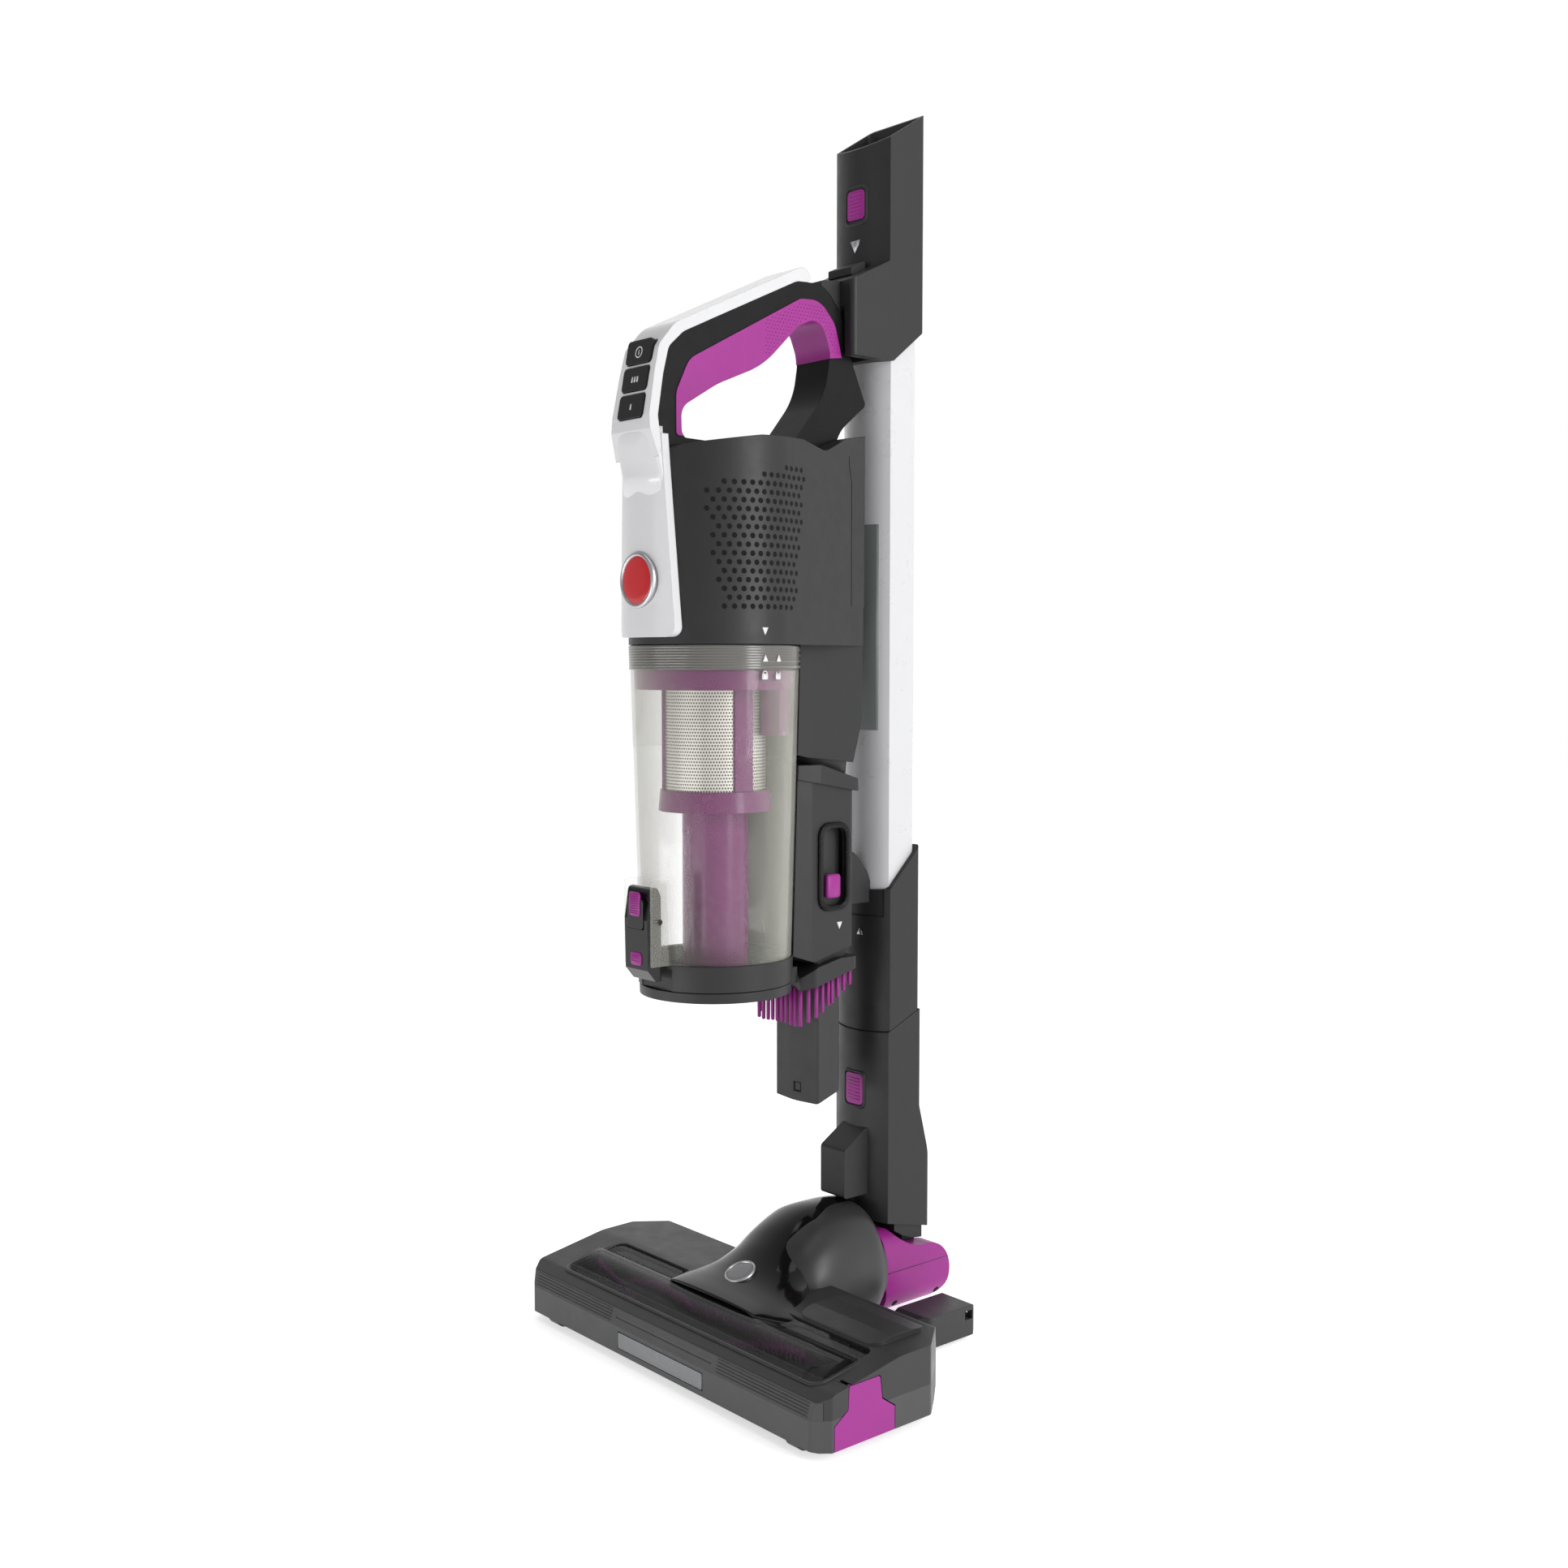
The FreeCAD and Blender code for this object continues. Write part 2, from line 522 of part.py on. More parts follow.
def neck_joint_cut():
    """Space above the slanted joint between the neck and the wand's lower sleeve."""
    return prism_x([(-40, 168.5), (-4, 172.0), (21.5, 183.0), (40, 183.0), (40, 260), (-40, 260)],
                   -40, 40)


neck = d_prism(SLEEVE_HALF, 30, SLEEVE_RIDGE, SLEEVE_FRONT, 40, NECK_TOP).common(neck_profile(0))
neck_hollow = d_prism(SLEEVE_HALF - 2.4, 27.6, SLEEVE_RIDGE + 0.8, SLEEVE_FRONT + 2.4, 40, NECK_TOP)
neck = neck.cut(neck_hollow.common(neck_profile(2.4)).common(box(-40, 40, -40, 40, 0, 160)))
neck_airway = d_prism(16.6, 16.6, -1.2, -5.7, 150, 215)
neck_stub = d_prism(18.7, 18.7, -1.4, -7.7, 155, 207).cut(neck_airway)
neck = neck.cut([neck_joint_cut(), neck_airway])
pocket = prism_x([(-4, 77), (-27, 77, 2), (-27, 105, 2.5), (-10, 115.5), (-4, 115.5)], -10, 10)
pocket = pocket.cut([rounded_box(-7.6, 7.6, -24.6, -11, 70, 101, 2, "z"), neck_hollow])
tongue_eye = rod_x(PITCH_Y, PITCH_Z, 10.0, -TONGUE_HALF, TONGUE_HALF)
tongue_arm = box(-TONGUE_HALF, TONGUE_HALF, 19.0, 29.4, PITCH_Z, 60)
neck_skirt = prism_x([(6, 53.5), (13, 49.2), (21, 46.2), (28.5, 45.4), (28.5, 62), (6, 62)], -17, 17)
neck = joined([neck, neck_stub, pocket, neck_skirt, tongue_eye, tongue_arm])
neck = neck.cut(rod_x(PITCH_Y, PITCH_Z, PITCH_PIN_R + FIT, -30, 30))
neck_button_hole = rounded_box(-7.4, 7.4, -30, -5, 127.6, 146.4, 3, "y")
neck = neck.cut(neck_button_hole)
write("neck_shell", neck)


def release_button(ridge, front, z0, z1):
    """Curved push plate that follows the crowned front face, drawn 0.3 mm proud of it."""
    plate = d_prism(SLEEVE_HALF + 0.3, 20, ridge, front - 0.3, z0 - 5, z1 + 5)
    plate = plate.cut(d_prism(SLEEVE_HALF - 1.8, 22, ridge, front + 1.9, z0 - 6, z1 + 6))
    return plate.common(rounded_box(-7, 7, -30, -5, z0, z1, 2.6, "y"))


neck_button = release_button(SLEEVE_RIDGE, SLEEVE_FRONT, 128, 146)
write("neck_button", joined([neck_button, box(-3, 3, -9.4, -4.6, 132, 142)]))

# ---- wand ---------------------------------------------------------------------------------------
lower = d_prism(SLEEVE_HALF, 21, SLEEVE_RIDGE + 1, SLEEVE_FRONT + 0.5, 160, 290)
lower = lower.common(prism_x([(-40, 168.9), (-4, 172.4), (21.5, 183.4), (40, 184), (40, 278),
                              (21, 278), (-3, 254), (-40, 248)], -40, 40))
tube_hole = d_prism(19.2, 19.2, -1.6, -8.2, 150, 300)
front_skin = box(-40, 40, -40, SLEEVE_RIDGE - 1, 238, 300).cut(
    d_prism(SLEEVE_HALF - 0.8, 21, SLEEVE_RIDGE + 1, SLEEVE_FRONT + 1.3, 230, 310))
lower = lower.cut([tube_hole, front_skin])
hook = prism_x([(-7, 246), (-25, 246, 3), (-31.5, 252, 2), (-31.5, 276, 2), (-20, 276, 6),
                (-9.5, 264, 3), (-7, 258)], -9.5, 9.5).cut(tube_hole)
write("lower_sleeve", joined([lower, hook]))

tube = d_prism(TUBE_HALF, TUBE_REAR, TUBE_RIDGE, TUBE_FRONT, 209, 622)
write("wand_tube", tube.cut(d_prism(17.6, 17.6, -1.0, -6.5, 200, 630)))

sleeve_shape = d_prism(SLEEVE_HALF, 22, -5, SLEEVE_FRONT - 0.5, 540, 700)
sleeve_block = sleeve_shape.fuse(
    prism_z([(-SLEEVE_HALF, -33, 3), (SLEEVE_HALF, -33, 3), (SLEEVE_HALF, 10), (-SLEEVE_HALF, 10)],
            549, 604))
sleeve_block = sleeve_block.common(prism_x([
    (22, WAND_TOP), (22, 568.6), (-2, 549.7), (-33, 549.7), (-33, 590.5), (-12, 600.6),
    (-12, 666.6)], -40, 40))
sleeve_slope = prism_x([(-5, 604), (-33.5, 590.2), (-33.5, 620), (-5, 620)], -40, 40)
sleeve_block = sleeve_block.cut(sleeve_slope.cut(sleeve_shape))
top_socket = d_prism(20.0, 20.0, -4.2, SLEEVE_FRONT + 1.3, 624, 700)
tube_socket = d_prism(TUBE_HALF + 0.15, TUBE_REAR + 0.15, TUBE_RIDGE - 0.1, TUBE_FRONT - 0.15,
                      530, 622)
airway = d_prism(17.6, 17.6, -1.0, -6.5, 600, 640)
top_button_hole = rounded_box(-7.4, 7.4, -30, -5, 628.6, 645.4, 3, "y")
dock_hollow = box(-15.2, 15.2, -40, -14, 545, 577)
latch_well = box(-9.8, 9.8, -23.5, -11.6, 591.5, 606)
top_sleeve = sleeve_block.cut([top_socket, tube_socket, airway, top_button_hole, dock_hollow, latch_well,
                               rod_x(LATCH_Y, LATCH_Z, 1.2, -12, 12)])
write("top_sleeve", top_sleeve.removeSplitter())
write("wand_button", release_button(-5, SLEEVE_FRONT - 0.5, 629, 645))

# dock: a short arm over the handle's heel, and a rocking latch in the slope above it
write("dock_bracket", prism_x([(-33, 573.5), (-33, 590.4), (-46.5, 589.0, 1), (-47.5, 586.2),
                               (-41, 582.4)], -12, 12))
write("dock_latch", joined([
    prism_x([(-22.8, 596.2), (-22.8, 600.4, 1), (-12.2, 605.0, 1), (-12.2, 598.0), (-15, 593.2),
             (-19, 593.2)], -9.4, 9.4),
    rod_x(LATCH_Y, LATCH_Z, 1.15, -11.8, 11.8)]))

# ---- hand unit: motor body ----------------------------------------------------------------------
def tube_clearance(z0, z1):
    """Space around the wand's tube that the docked hand unit leaves free."""
    return d_prism(TUBE_HALF + 1.2, 30, TUBE_RIDGE, TUBE_FRONT - 1.2, z0, z1)


def bin_cone(grow, z0, z1):
    """Tapered solid about the bin axis, grown outwards from the bin's wall."""
    slope = (BIN_TOP_R - BIN_BOTTOM_R) / (BIN_TOP - BIN_BOTTOM)
    r0 = BIN_BOTTOM_R + slope * (z0 - BIN_BOTTOM) + grow
    r1 = BIN_BOTTOM_R + slope * (z1 - BIN_BOTTOM) + grow
    return cone_z(0, BIN_Y, z0, r0, z1, r1)


body_roof = prism_x([(-170, 484), (-158, 488), (-150, 492, 8), (-117, 497, 20), (-84, 498, 12),
                     (-62, 494, 12), (-40, 503.5, 6), (-22.5, 506.5), (-22.5, 300), (-170, 300)],
                    -60, 60)
body = teardrop(BODY_R, 20, -22.8, BODY_BOTTOM, 510).common(body_roof)
spine_side = prism_x([(-75, 395), (-75, 333), (-66, 331), (-30.5, 327.2), (-23.6, 351), (-22.8, 395)],
                     -30, 30)
spine = prism_z([(-22, -80), (22, -80), (22, -62), (20, -22.8, 1.5), (-20, -22.8, 1.5), (-22, -62)],
                320, 395).common(spine_side).cut(bin_cone(1.6, 300, BODY_BOTTOM))
body = body.fuse(spine)
motor_room = teardrop(BODY_R - 2.4, 17.5, -25.2, BODY_BOTTOM + 3, 482)
motor_mouth = rod_z(0, BIN_Y, 33, BODY_BOTTOM - 2, BODY_BOTTOM + 4)
battery_room = box(-19.8, 19.8, -80.5, -20, 412.6, 512)
duct_room = box(-17.2, 17.2, -61.5, -27, 320, 391)
body = body.cut([motor_room, motor_mouth, battery_room, duct_room])
write("body_shell", body.removeSplitter())

battery_block = box(-19.5, 19.5, -80, -21.6, 413, 510).common(
    teardrop(BODY_R + 0.6, 19.6, -21.6, 400, 515)).common(body_roof.fuse(
        prism_x([(-40, 300), (-40, 503.5), (-21.6, 506.8), (-21.6, 300)], -60, 60)))
cell_places = [(x, y) for x in (-9.3, 9.3) for y in (-68.5, -50.0, -31.5)]
battery = battery_block.cut([rod_z(x, y, 9.2, 422, 488) for x, y in cell_places])
write("battery_pack", battery)
write("battery_cells", Part.makeCompound([rod_z(x, y, 9.1, 422.5, 487.5) for x, y in cell_places]))

write("suction_motor", joined([
    rod_z(0, BIN_Y, MOTOR_R, 411, 452),
    rod_z(0, BIN_Y, MOTOR_R - 8, 452, 470)]).cut(
        rod_z(0, BIN_Y, MOTOR_SHAFT_R + FIT, 405, 440)))
blades = []
for i in range(9):
    blade = box(-0.8, 0.8, 6.5, 26.5, 399.5, 406)
    blade.rotate(FreeCAD.Vector(0, 0, 0), FreeCAD.Vector(0, 0, 1), i * 40)
    blade.translate(FreeCAD.Vector(0, BIN_Y, 0))
    blades.append(blade)
write("impeller", joined([
    rod_z(0, BIN_Y, 28, 398, 399.6), rod_z(0, BIN_Y, 7.5, 398, 408),
    rod_z(0, BIN_Y, MOTOR_SHAFT_R, 408, 436)] + blades))
write("exhaust_filter", rod_z(0, BIN_Y, 37.5, 412, 468).cut(
    [rod_z(0, BIN_Y, 31, 400, 480), box(-60, 60, -81.5, 0, 400, 480)]))

# ---- hand unit: handle, trim and buttons ----------------------------------------------------------
loop_opening = [(-144, 496.5, 4), (-144.5, 511.5, 9), (-121, 525.5, 60), (-90, 538.5, 60),
                (-66, 561.5, 12), (-50, 569.0, 9), (-42.0, 550, 20), (-45.5, 528, 40), (-73, 494.5, 6)]
frame_outer = [(-159.5, 486), (-160.5, 506), (-156.5, 527), (-152.5, 541, 8), (-143, 549.5, 14),
               (-66, 585.5, 10), (-46.5, 586.5, 16), (-33, 571, 30), (-27.5, 551, 30),
               (-15.5, 524.5, 2), (-34, 509.5, 20), (-41, 496), (-60, 488), (-140, 486)]
handle = prism_x(frame_outer, -HANDLE_HALF, HANDLE_HALF)
handle_section = prism_y([(-HANDLE_HALF, 480), (HANDLE_HALF, 480), (HANDLE_HALF, 700),
                          (-HANDLE_HALF, 700)], -200, 0)
handle = handle.common(handle_section).cut(prism_x(loop_opening, -40, 40))
handle = handle.cut([body, battery_room.common(body_roof), battery_block, teardrop(BODY_R + 0.02, 20, -22.8, 400, 484),
                     tube_clearance(480, 548),
                     d_prism(SLEEVE_HALF + 1.2, 30, -5, SLEEVE_FRONT - 1.7, 546, 620)])

grip_outer = [(-147.5, 497, 2), (-147.5, 519, 12), (-139, 536.5, 14), (-64, 576.5, 8),
              (-50, 577.5, 14), (-39, 566, 14), (-34, 548.5), (-48, 546.5), (-60, 546.5),
              (-100, 520), (-140, 497)]
grip = prism_x(grip_outer, -HANDLE_HALF - 0.6, HANDLE_HALF + 0.6).cut(prism_x(loop_opening, -40, 40))
handle = handle.cut(prism_x(grip_outer, -40, 40))
write("handle_grip", grip.cut([body]))

trim_band = prism_x([(-166, 499, 3), (-166, 506, 5), (-162, 527, 60), (-158.5, 541.5, 8),
                     (-148, 553.5, 18), (-61, 594.3, 5), (-54.5, 588, 3), (-58, 586),
                     (-66, 585.5, 10), (-143, 549.5, 14), (-152.5, 541, 8), (-156.5, 527),
                     (-160.5, 506), (-159.8, 490), (-162, 485)], -20, 20)
trim_taper = prism_y([(-19.0, 480), (19.0, 480), (16.0, 505), (14.2, 550), (HANDLE_HALF, 560),
                      (HANDLE_HALF, 620), (-HANDLE_HALF, 620), (-HANDLE_HALF, 560), (-14.2, 550),
                      (-16.0, 505)], -200, 0)
apron = rod_z(0, BIN_Y, BODY_R + 4.2, 395, 497).cut(rod_z(0, BIN_Y, BODY_R + 0.1, 380, 500))
apron = apron.common(prism_y([(-23.5, 395, 5), (23.5, 395, 5), (20.5, 440), (16.5, 497), (-16.5, 497),
                              (-20.5, 440)], -200, BIN_Y))
trim = joined([trim_band.common(trim_taper), apron.cut(trim_band)])

button_rows = [("button_power", 539.0), ("button_boost", 525.0), ("button_quiet", 511.0)]
button_half_z = 6.2
button_face = -161.7


def button_shape(z, grow, depth):
    """Push button drawn square to the tilted podium; grow widens it into its pocket."""
    y = button_face + (z - 525.0) * math.tan(math.radians(BUTTON_TILT))
    block = rounded_box(-10.5 - grow, 10.5 + grow, y - 1.4, y + depth, z - button_half_z - grow,
                        z + button_half_z + grow, 2.2, "y")
    return tilted(block, y, z)


pockets = [button_shape(z, 0.3, 6.4) for name, z in button_rows]
trim = trim.cut(pockets)
board_room = box(-11.4, 11.4, -152.6, -148.4, 500, 536)
handle = handle.cut(pockets + [trim, board_room])
frame_pieces = sorted(handle.Solids, key=lambda s: -s.Volume)
write("handle_frame", frame_pieces[0])
write("front_trim", trim)
write("control_board", box(-10.8, 10.8, -151.6, -150.0, 501, 535))
for name, z in button_rows:
    write(name, button_shape(z, 0.0, 3.2))
trim_badge = rod_y(0, 424, 14.5, BIN_Y - BODY_R - 5.6, BIN_Y - 20).cut(
    [rod_z(0, BIN_Y, BODY_R + 4.2, 380, 500)])
write("trim_badge", trim_badge.common(box(-20, 20, BIN_Y - BODY_R - 6, BIN_Y - 30, 400, 450)))

# ---- hand unit: inlet duct, nozzle and dusting tool ------------------------------------------------
TOOL_OUTER = 21.0        # half width of the dusting tool's sleeve
TOOL_FRONT = -58.4
TOOL_REAR = -35.0

block_plan = [(-24, -64), (-22, -78), (22, -78), (24, -64), (24, -33, 3), (-24, -33, 3)]
duct = prism_z(block_plan, 215, 326.6).common(prism_x([
    (-80, 225), (-62, 219), (-33, 226), (-33, 313), (-80, 326.6)], -40, 40))
flange = prism_z([(-26.5, -60), (-24, -76), (24, -76), (26.5, -60), (26.5, -30.5, 3),
                  (-26.5, -30.5, 3)], 309, 327).common(prism_x([
                      (-78, 320), (-78, 327.2), (-60, 327.2), (-30.5, 318), (-30.5, 311.5)], -40, 40))
duct = joined([duct, flange])
duct = duct.cut([bin_cone(1.6, 200, 340),
                 rounded_box(-TOOL_OUTER - 0.4, TOOL_OUTER + 0.4, TOOL_FRONT - 0.4, TOOL_REAR + 0.4,
                             200, 300, 3, "z"),
                 rounded_box(-17.2, 17.2, -55.2, -36.8, 290, 340, 3, "z"), spine,
                 rounded_box(20, 25, -57.5, -39.5, 249, 292.5, 6, "x")])
write("duct_housing", duct)


def nozzle_section(inset, z0, z1):
    return prism_z([(-NOZZLE_HALF + inset, -54.5 + inset, 2), (0, -56.0 + inset, 60),
                    (NOZZLE_HALF - inset, -54.5 + inset, 2), (NOZZLE_HALF - inset, -37.0 - inset, 3),
                    (-NOZZLE_HALF + inset, -37.0 - inset, 3)], z0, z1)


nozzle_cut = prism_x([(-80, 120), (-20, 120), (-20, 150.0), (-56, NOZZLE_BOTTOM)], -30, 30)
nozzle = nozzle_section(0, 130, 300).fuse(nozzle_section(1.0, 296, 385)).cut(
    [nozzle_section(2.2, 120, 380), nozzle_cut])
window_to_bin = box(-11, 11, -60, -50, 350, 374)
write("nozzle_tube", nozzle.cut(window_to_bin))

tool_hole = nozzle_section(-GAP, 150, 300)
tool = rounded_box(-TOOL_OUTER, TOOL_OUTER, TOOL_FRONT, TOOL_REAR, 212, 264, 3, "z")
skirt = prism_z([(-26, -62, 7), (-20, -70.5, 7), (20, -70.5, 7), (26, -62, 7), (26.5, -31.5, 4),
                 (-26.5, -31.5, 4)], 200, 220).common(prism_x([
                     (-72, 203), (-72, 209), (-61, 216.5), (-31, 223), (-31, 214)], -40, 40))
hinge_sweep = rod_z(0, BIN_Y, 47.0, 190, 222)
tool = joined([tool, skirt]).cut([tool_hole, hinge_sweep])
write("dusting_tool", tool)
bristle_outer = prism_z([(-24, -61, 6), (-18.5, -68.5, 6), (18.5, -68.5, 6), (24, -61, 6),
                         (24.5, -33.5, 4), (-24.5, -33.5, 4)], 174, 216)
bristle_inner = prism_z([(-20.5, -60), (20.5, -60), (20.5, -35.2), (-20.5, -35.2)], 170, 220)
bristle_side = prism_x([(-72, 178.5), (-30, 206), (-30, 214.2), (-72, 203)], -40, 40)
bristles = bristle_outer.common(bristle_side).cut([bristle_inner, tool, hinge_sweep])
write("dusting_bristles", bristles)
write("tool_button", rounded_box(22.0, 24.2, -53.5, -43.5, 253.5, 266.5, 2, "x"))

# ---- hand unit: dust bin and cyclone ---------------------------------------------------------------
wall = bin_cone(0, 226, BIN_TOP).cut(bin_cone(-1.8, 220, BIN_TOP + 1))
for i in range(4):
    rib_z = 379.5 + i * 2.9
    wall = wall.fuse(rod_z(0, BIN_Y, BIN_TOP_R + 0.35, rib_z, rib_z + 1.3).cut(
        rod_z(0, BIN_Y, BIN_TOP_R - 1.2, rib_z - 1, rib_z + 3)))
wall = wall.cut(box(-12, 12, -75, -60, 348, 376))
latch_cheeks = both_sides(box(10.6, 12.4, -163, BIN_Y, 214, 270).cut(bin_cone(-1.0, 200, 300)))
wall = wall.fuse(latch_cheeks.common(box(-20, 20, -170, -140, 226, 270)).Solids)
wall = wall.cut([rod_x(-158, 249, 1.6, -30, 30)])
write("bin_wall", wall.removeSplitter())
base_ring = bin_cone(1.0, 212.5, 226).cut(rod_z(0, BIN_Y, 37.2, 200, 230))
hinge_pin_y = BIN_Y + 40.5
hinge_pin_z = 210.0
write("bin_base_ring", base_ring.cut([
    box(-15, 15, hinge_pin_y - 5.0, hinge_pin_y + 6, 205, 217.5),
    box(-13, 13, -170, BIN_Y - 38.7, 205, 224)]).fuse(both_sides(
        box(15, 18, hinge_pin_y - 5, hinge_pin_y + 2.0, 208.2, 217)).Solids).fuse(
            rod_x(hinge_pin_y, hinge_pin_z, 1.2, -16, 16)))

lug_gap = 0.5
flap = bin_cone(0.6, 206.8, 212.0).cut(box(-60, 60, hinge_pin_y - 5.4, -50, 200, 230))
knuckle = prism_x([(-78, 206.8), (hinge_pin_y + 2.3, 207.7, 2), (hinge_pin_y + 2.3, 212.3, 2),
                   (-78, 212)], lug_gap - 15, 15 - lug_gap)
flap = joined([flap, knuckle]).cut(rod_x(hinge_pin_y, hinge_pin_z, 1.2 + FIT, -30, 30))
write("bin_flap", flap)

lever = prism_x([(-164, 224), (-159.0, 218), (-155.5, 218), (-155.6, 262), (-158, 267, 2),
                 (-162, 266, 2), (-164.5, 250)], -9.8, 9.8)
lever = lever.cut(box(-7, 7, -170, -160.6, 245, 261)).fuse(rod_x(-158, 249, 1.55, -12.3, 12.3))
pad = rounded_box(-6.8, 6.8, -164.9, -160.6, 245.3, 260.7, 2, "y")
write("flap_lever", joined([lever, pad]))

collar = bin_cone(-2.1, 368, 389.5).cut(rod_z(0, BIN_Y, 37.5, 374.5, 392))
ribs = []
for i in range(3):
    rib = box(-5.5, 5.5, SHROUD_R - 1.6, SHROUD_R + 1.2, 312, 370)
    rib.rotate(FreeCAD.Vector(0, 0, 0), FreeCAD.Vector(0, 0, 1), 24 + i * 120)
    rib.translate(FreeCAD.Vector(0, BIN_Y, 0))
    ribs.append(rib)
skirt_ring = cone_z(0, BIN_Y, 304, SHROUD_R + 3.2, 315, SHROUD_R + 2.2).cut(
    rod_z(0, BIN_Y, CONE_R - 1.2, 290, 320))
scroll = rod_z(0, BIN_Y, 39.5, 344, 370).cut(rod_z(0, BIN_Y, SHROUD_R + 1.2, 340, 375)).common(
    prism_z([(0, BIN_Y), (60, -90), (60, -40), (-14, -40), (-14, -75)], 340, 380))
scroll = scroll.cut([box(-11, 11, -90, -60, 350, 366),
                     rod_z(0, BIN_Y, 37.2, 347, 367).cut(rod_z(0, BIN_Y, SHROUD_R + 3, 340, 375)).common(
                         prism_z([(0, BIN_Y + 8), (60, -82), (60, -40), (-9, -40), (-9, -75)],
                                 345, 369))])
cone = rod_z(0, BIN_Y, CONE_R + 0.6, 214.5, 306).cut(rod_z(0, BIN_Y, CONE_R - 1.2, 214, 307))
write("cyclone_shroud", joined([collar.cut(rod_z(0, BIN_Y, CONE_R - 1.2, 360, 380))] + ribs
                               + [skirt_ring, scroll, cone]))
write("mesh_screen", rod_z(0, BIN_Y, SHROUD_R, 315.0, 368.0).cut(
    [rod_z(0, BIN_Y, SHROUD_R - 0.8, 300, 370)] + ribs))
write("motor_filter", rod_z(0, BIN_Y, 37.0, 375, 389))
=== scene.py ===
"""Cordless stick vacuum, parked upright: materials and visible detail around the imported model."""
import math
import random

import bmesh
import bpy
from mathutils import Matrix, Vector
from mathutils.bvhtree import BVHTree


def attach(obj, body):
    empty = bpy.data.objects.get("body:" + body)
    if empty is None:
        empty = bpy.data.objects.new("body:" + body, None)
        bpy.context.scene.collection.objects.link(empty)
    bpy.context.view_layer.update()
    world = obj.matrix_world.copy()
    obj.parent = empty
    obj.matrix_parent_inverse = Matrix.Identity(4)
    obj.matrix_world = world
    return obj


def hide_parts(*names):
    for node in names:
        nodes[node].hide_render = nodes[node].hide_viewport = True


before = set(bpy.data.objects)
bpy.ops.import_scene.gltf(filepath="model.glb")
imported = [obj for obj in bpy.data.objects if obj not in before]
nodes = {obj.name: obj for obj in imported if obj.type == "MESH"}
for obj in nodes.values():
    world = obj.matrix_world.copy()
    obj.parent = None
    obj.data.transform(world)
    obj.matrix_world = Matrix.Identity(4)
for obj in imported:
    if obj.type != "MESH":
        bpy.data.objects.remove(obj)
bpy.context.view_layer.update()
MM = 0.001
WAND_Y = 0.0605          # wand centre line, metres behind the origin
BIN_AXIS = -112.0        # dust bin and motor axis, millimetres from that line
BIN_Y = WAND_Y + BIN_AXIS * MM
PLUS_X = Vector((1.0, 0.0, 0.0))
PLUS_Y = Vector((0.0, 1.0, 0.0))
PLUS_Z = Vector((0.0, 0.0, 1.0))


# ---- material helpers ----------------------------------------------------------------------------
def new_material(name):
    mat = bpy.data.materials.new(name)
    mat.use_nodes = True
    tree = mat.node_tree
    return mat, tree, tree.nodes["Principled BSDF"]


def add(tree, kind, **values):
    """Node with its named inputs or properties set."""
    node = tree.nodes.new(kind)
    for key, value in values.items():
        if hasattr(node, key):
            setattr(node, key, value)
        else:
            node.inputs[key.replace("_", " ")].default_value = value
    return node


def coordinates(tree):
    return add(tree, "ShaderNodeTexCoord").outputs["Object"]


def noise(tree, where, scale, detail=3.0, rough=0.5):
    node = add(tree, "ShaderNodeTexNoise")
    node.inputs["Scale"].default_value = scale
    node.inputs["Detail"].default_value = detail
    node.inputs["Roughness"].default_value = rough
    tree.links.new(where, node.inputs["Vector"])
    return node.outputs["Fac"]


def remap(tree, source, low, high, new_low, new_high):
    node = add(tree, "ShaderNodeMapRange")
    for key, value in zip(("From Min", "From Max", "To Min", "To Max"), (low, high, new_low, new_high)):
        node.inputs[key].default_value = value
    tree.links.new(source, node.inputs["Value"])
    return node.outputs["Result"]


def calc(tree, operation, a, b=None):
    node = add(tree, "ShaderNodeMath", operation=operation)
    for socket, value in zip(node.inputs, (a, b)):
        if value is None:
            continue
        if isinstance(value, (int, float)):
            socket.default_value = value
        else:
            tree.links.new(value, socket)
    return node.outputs[0]


def mix_color(tree, factor, a, b):
    node = add(tree, "ShaderNodeMix", data_type="RGBA")
    if isinstance(factor, (int, float)):
        node.inputs[0].default_value = factor
    else:
        tree.links.new(factor, node.inputs[0])
    for socket, value in ((node.inputs[6], a), (node.inputs[7], b)):
        if isinstance(value, tuple):
            socket.default_value = (*value[:3], 1.0)
        else:
            tree.links.new(value, socket)
    return node.outputs[2]


def rounded_normal(tree, radius):
    """Surface normal with the edges rounded over by the radius."""
    bevel = add(tree, "ShaderNodeBevel", samples=4)
    bevel.inputs["Radius"].default_value = radius
    return bevel.outputs[0]


def painted_edge_highlight(tree, rounded):
    """Painted edge highlight mask: 0 on flats, rising to 1 where the surface turns sharply."""
    geometry = add(tree, "ShaderNodeNewGeometry")
    dot = add(tree, "ShaderNodeVectorMath", operation="DOT_PRODUCT")
    tree.links.new(rounded, dot.inputs[0])
    tree.links.new(geometry.outputs["Normal"], dot.inputs[1])
    return remap(tree, dot.outputs["Value"], 1.0, 0.75, 0.0, 1.0)


def bump_normal(tree, shader, height, strength, distance, normal=None):
    """Drive the shader's normal from a height, over an optional base normal."""
    node = add(tree, "ShaderNodeBump")
    node.inputs["Strength"].default_value = strength
    node.inputs["Distance"].default_value = distance
    tree.links.new(height, node.inputs["Height"])
    if normal is not None:
        tree.links.new(normal, node.inputs["Normal"])
    tree.links.new(node.outputs[0], shader.inputs["Normal"])


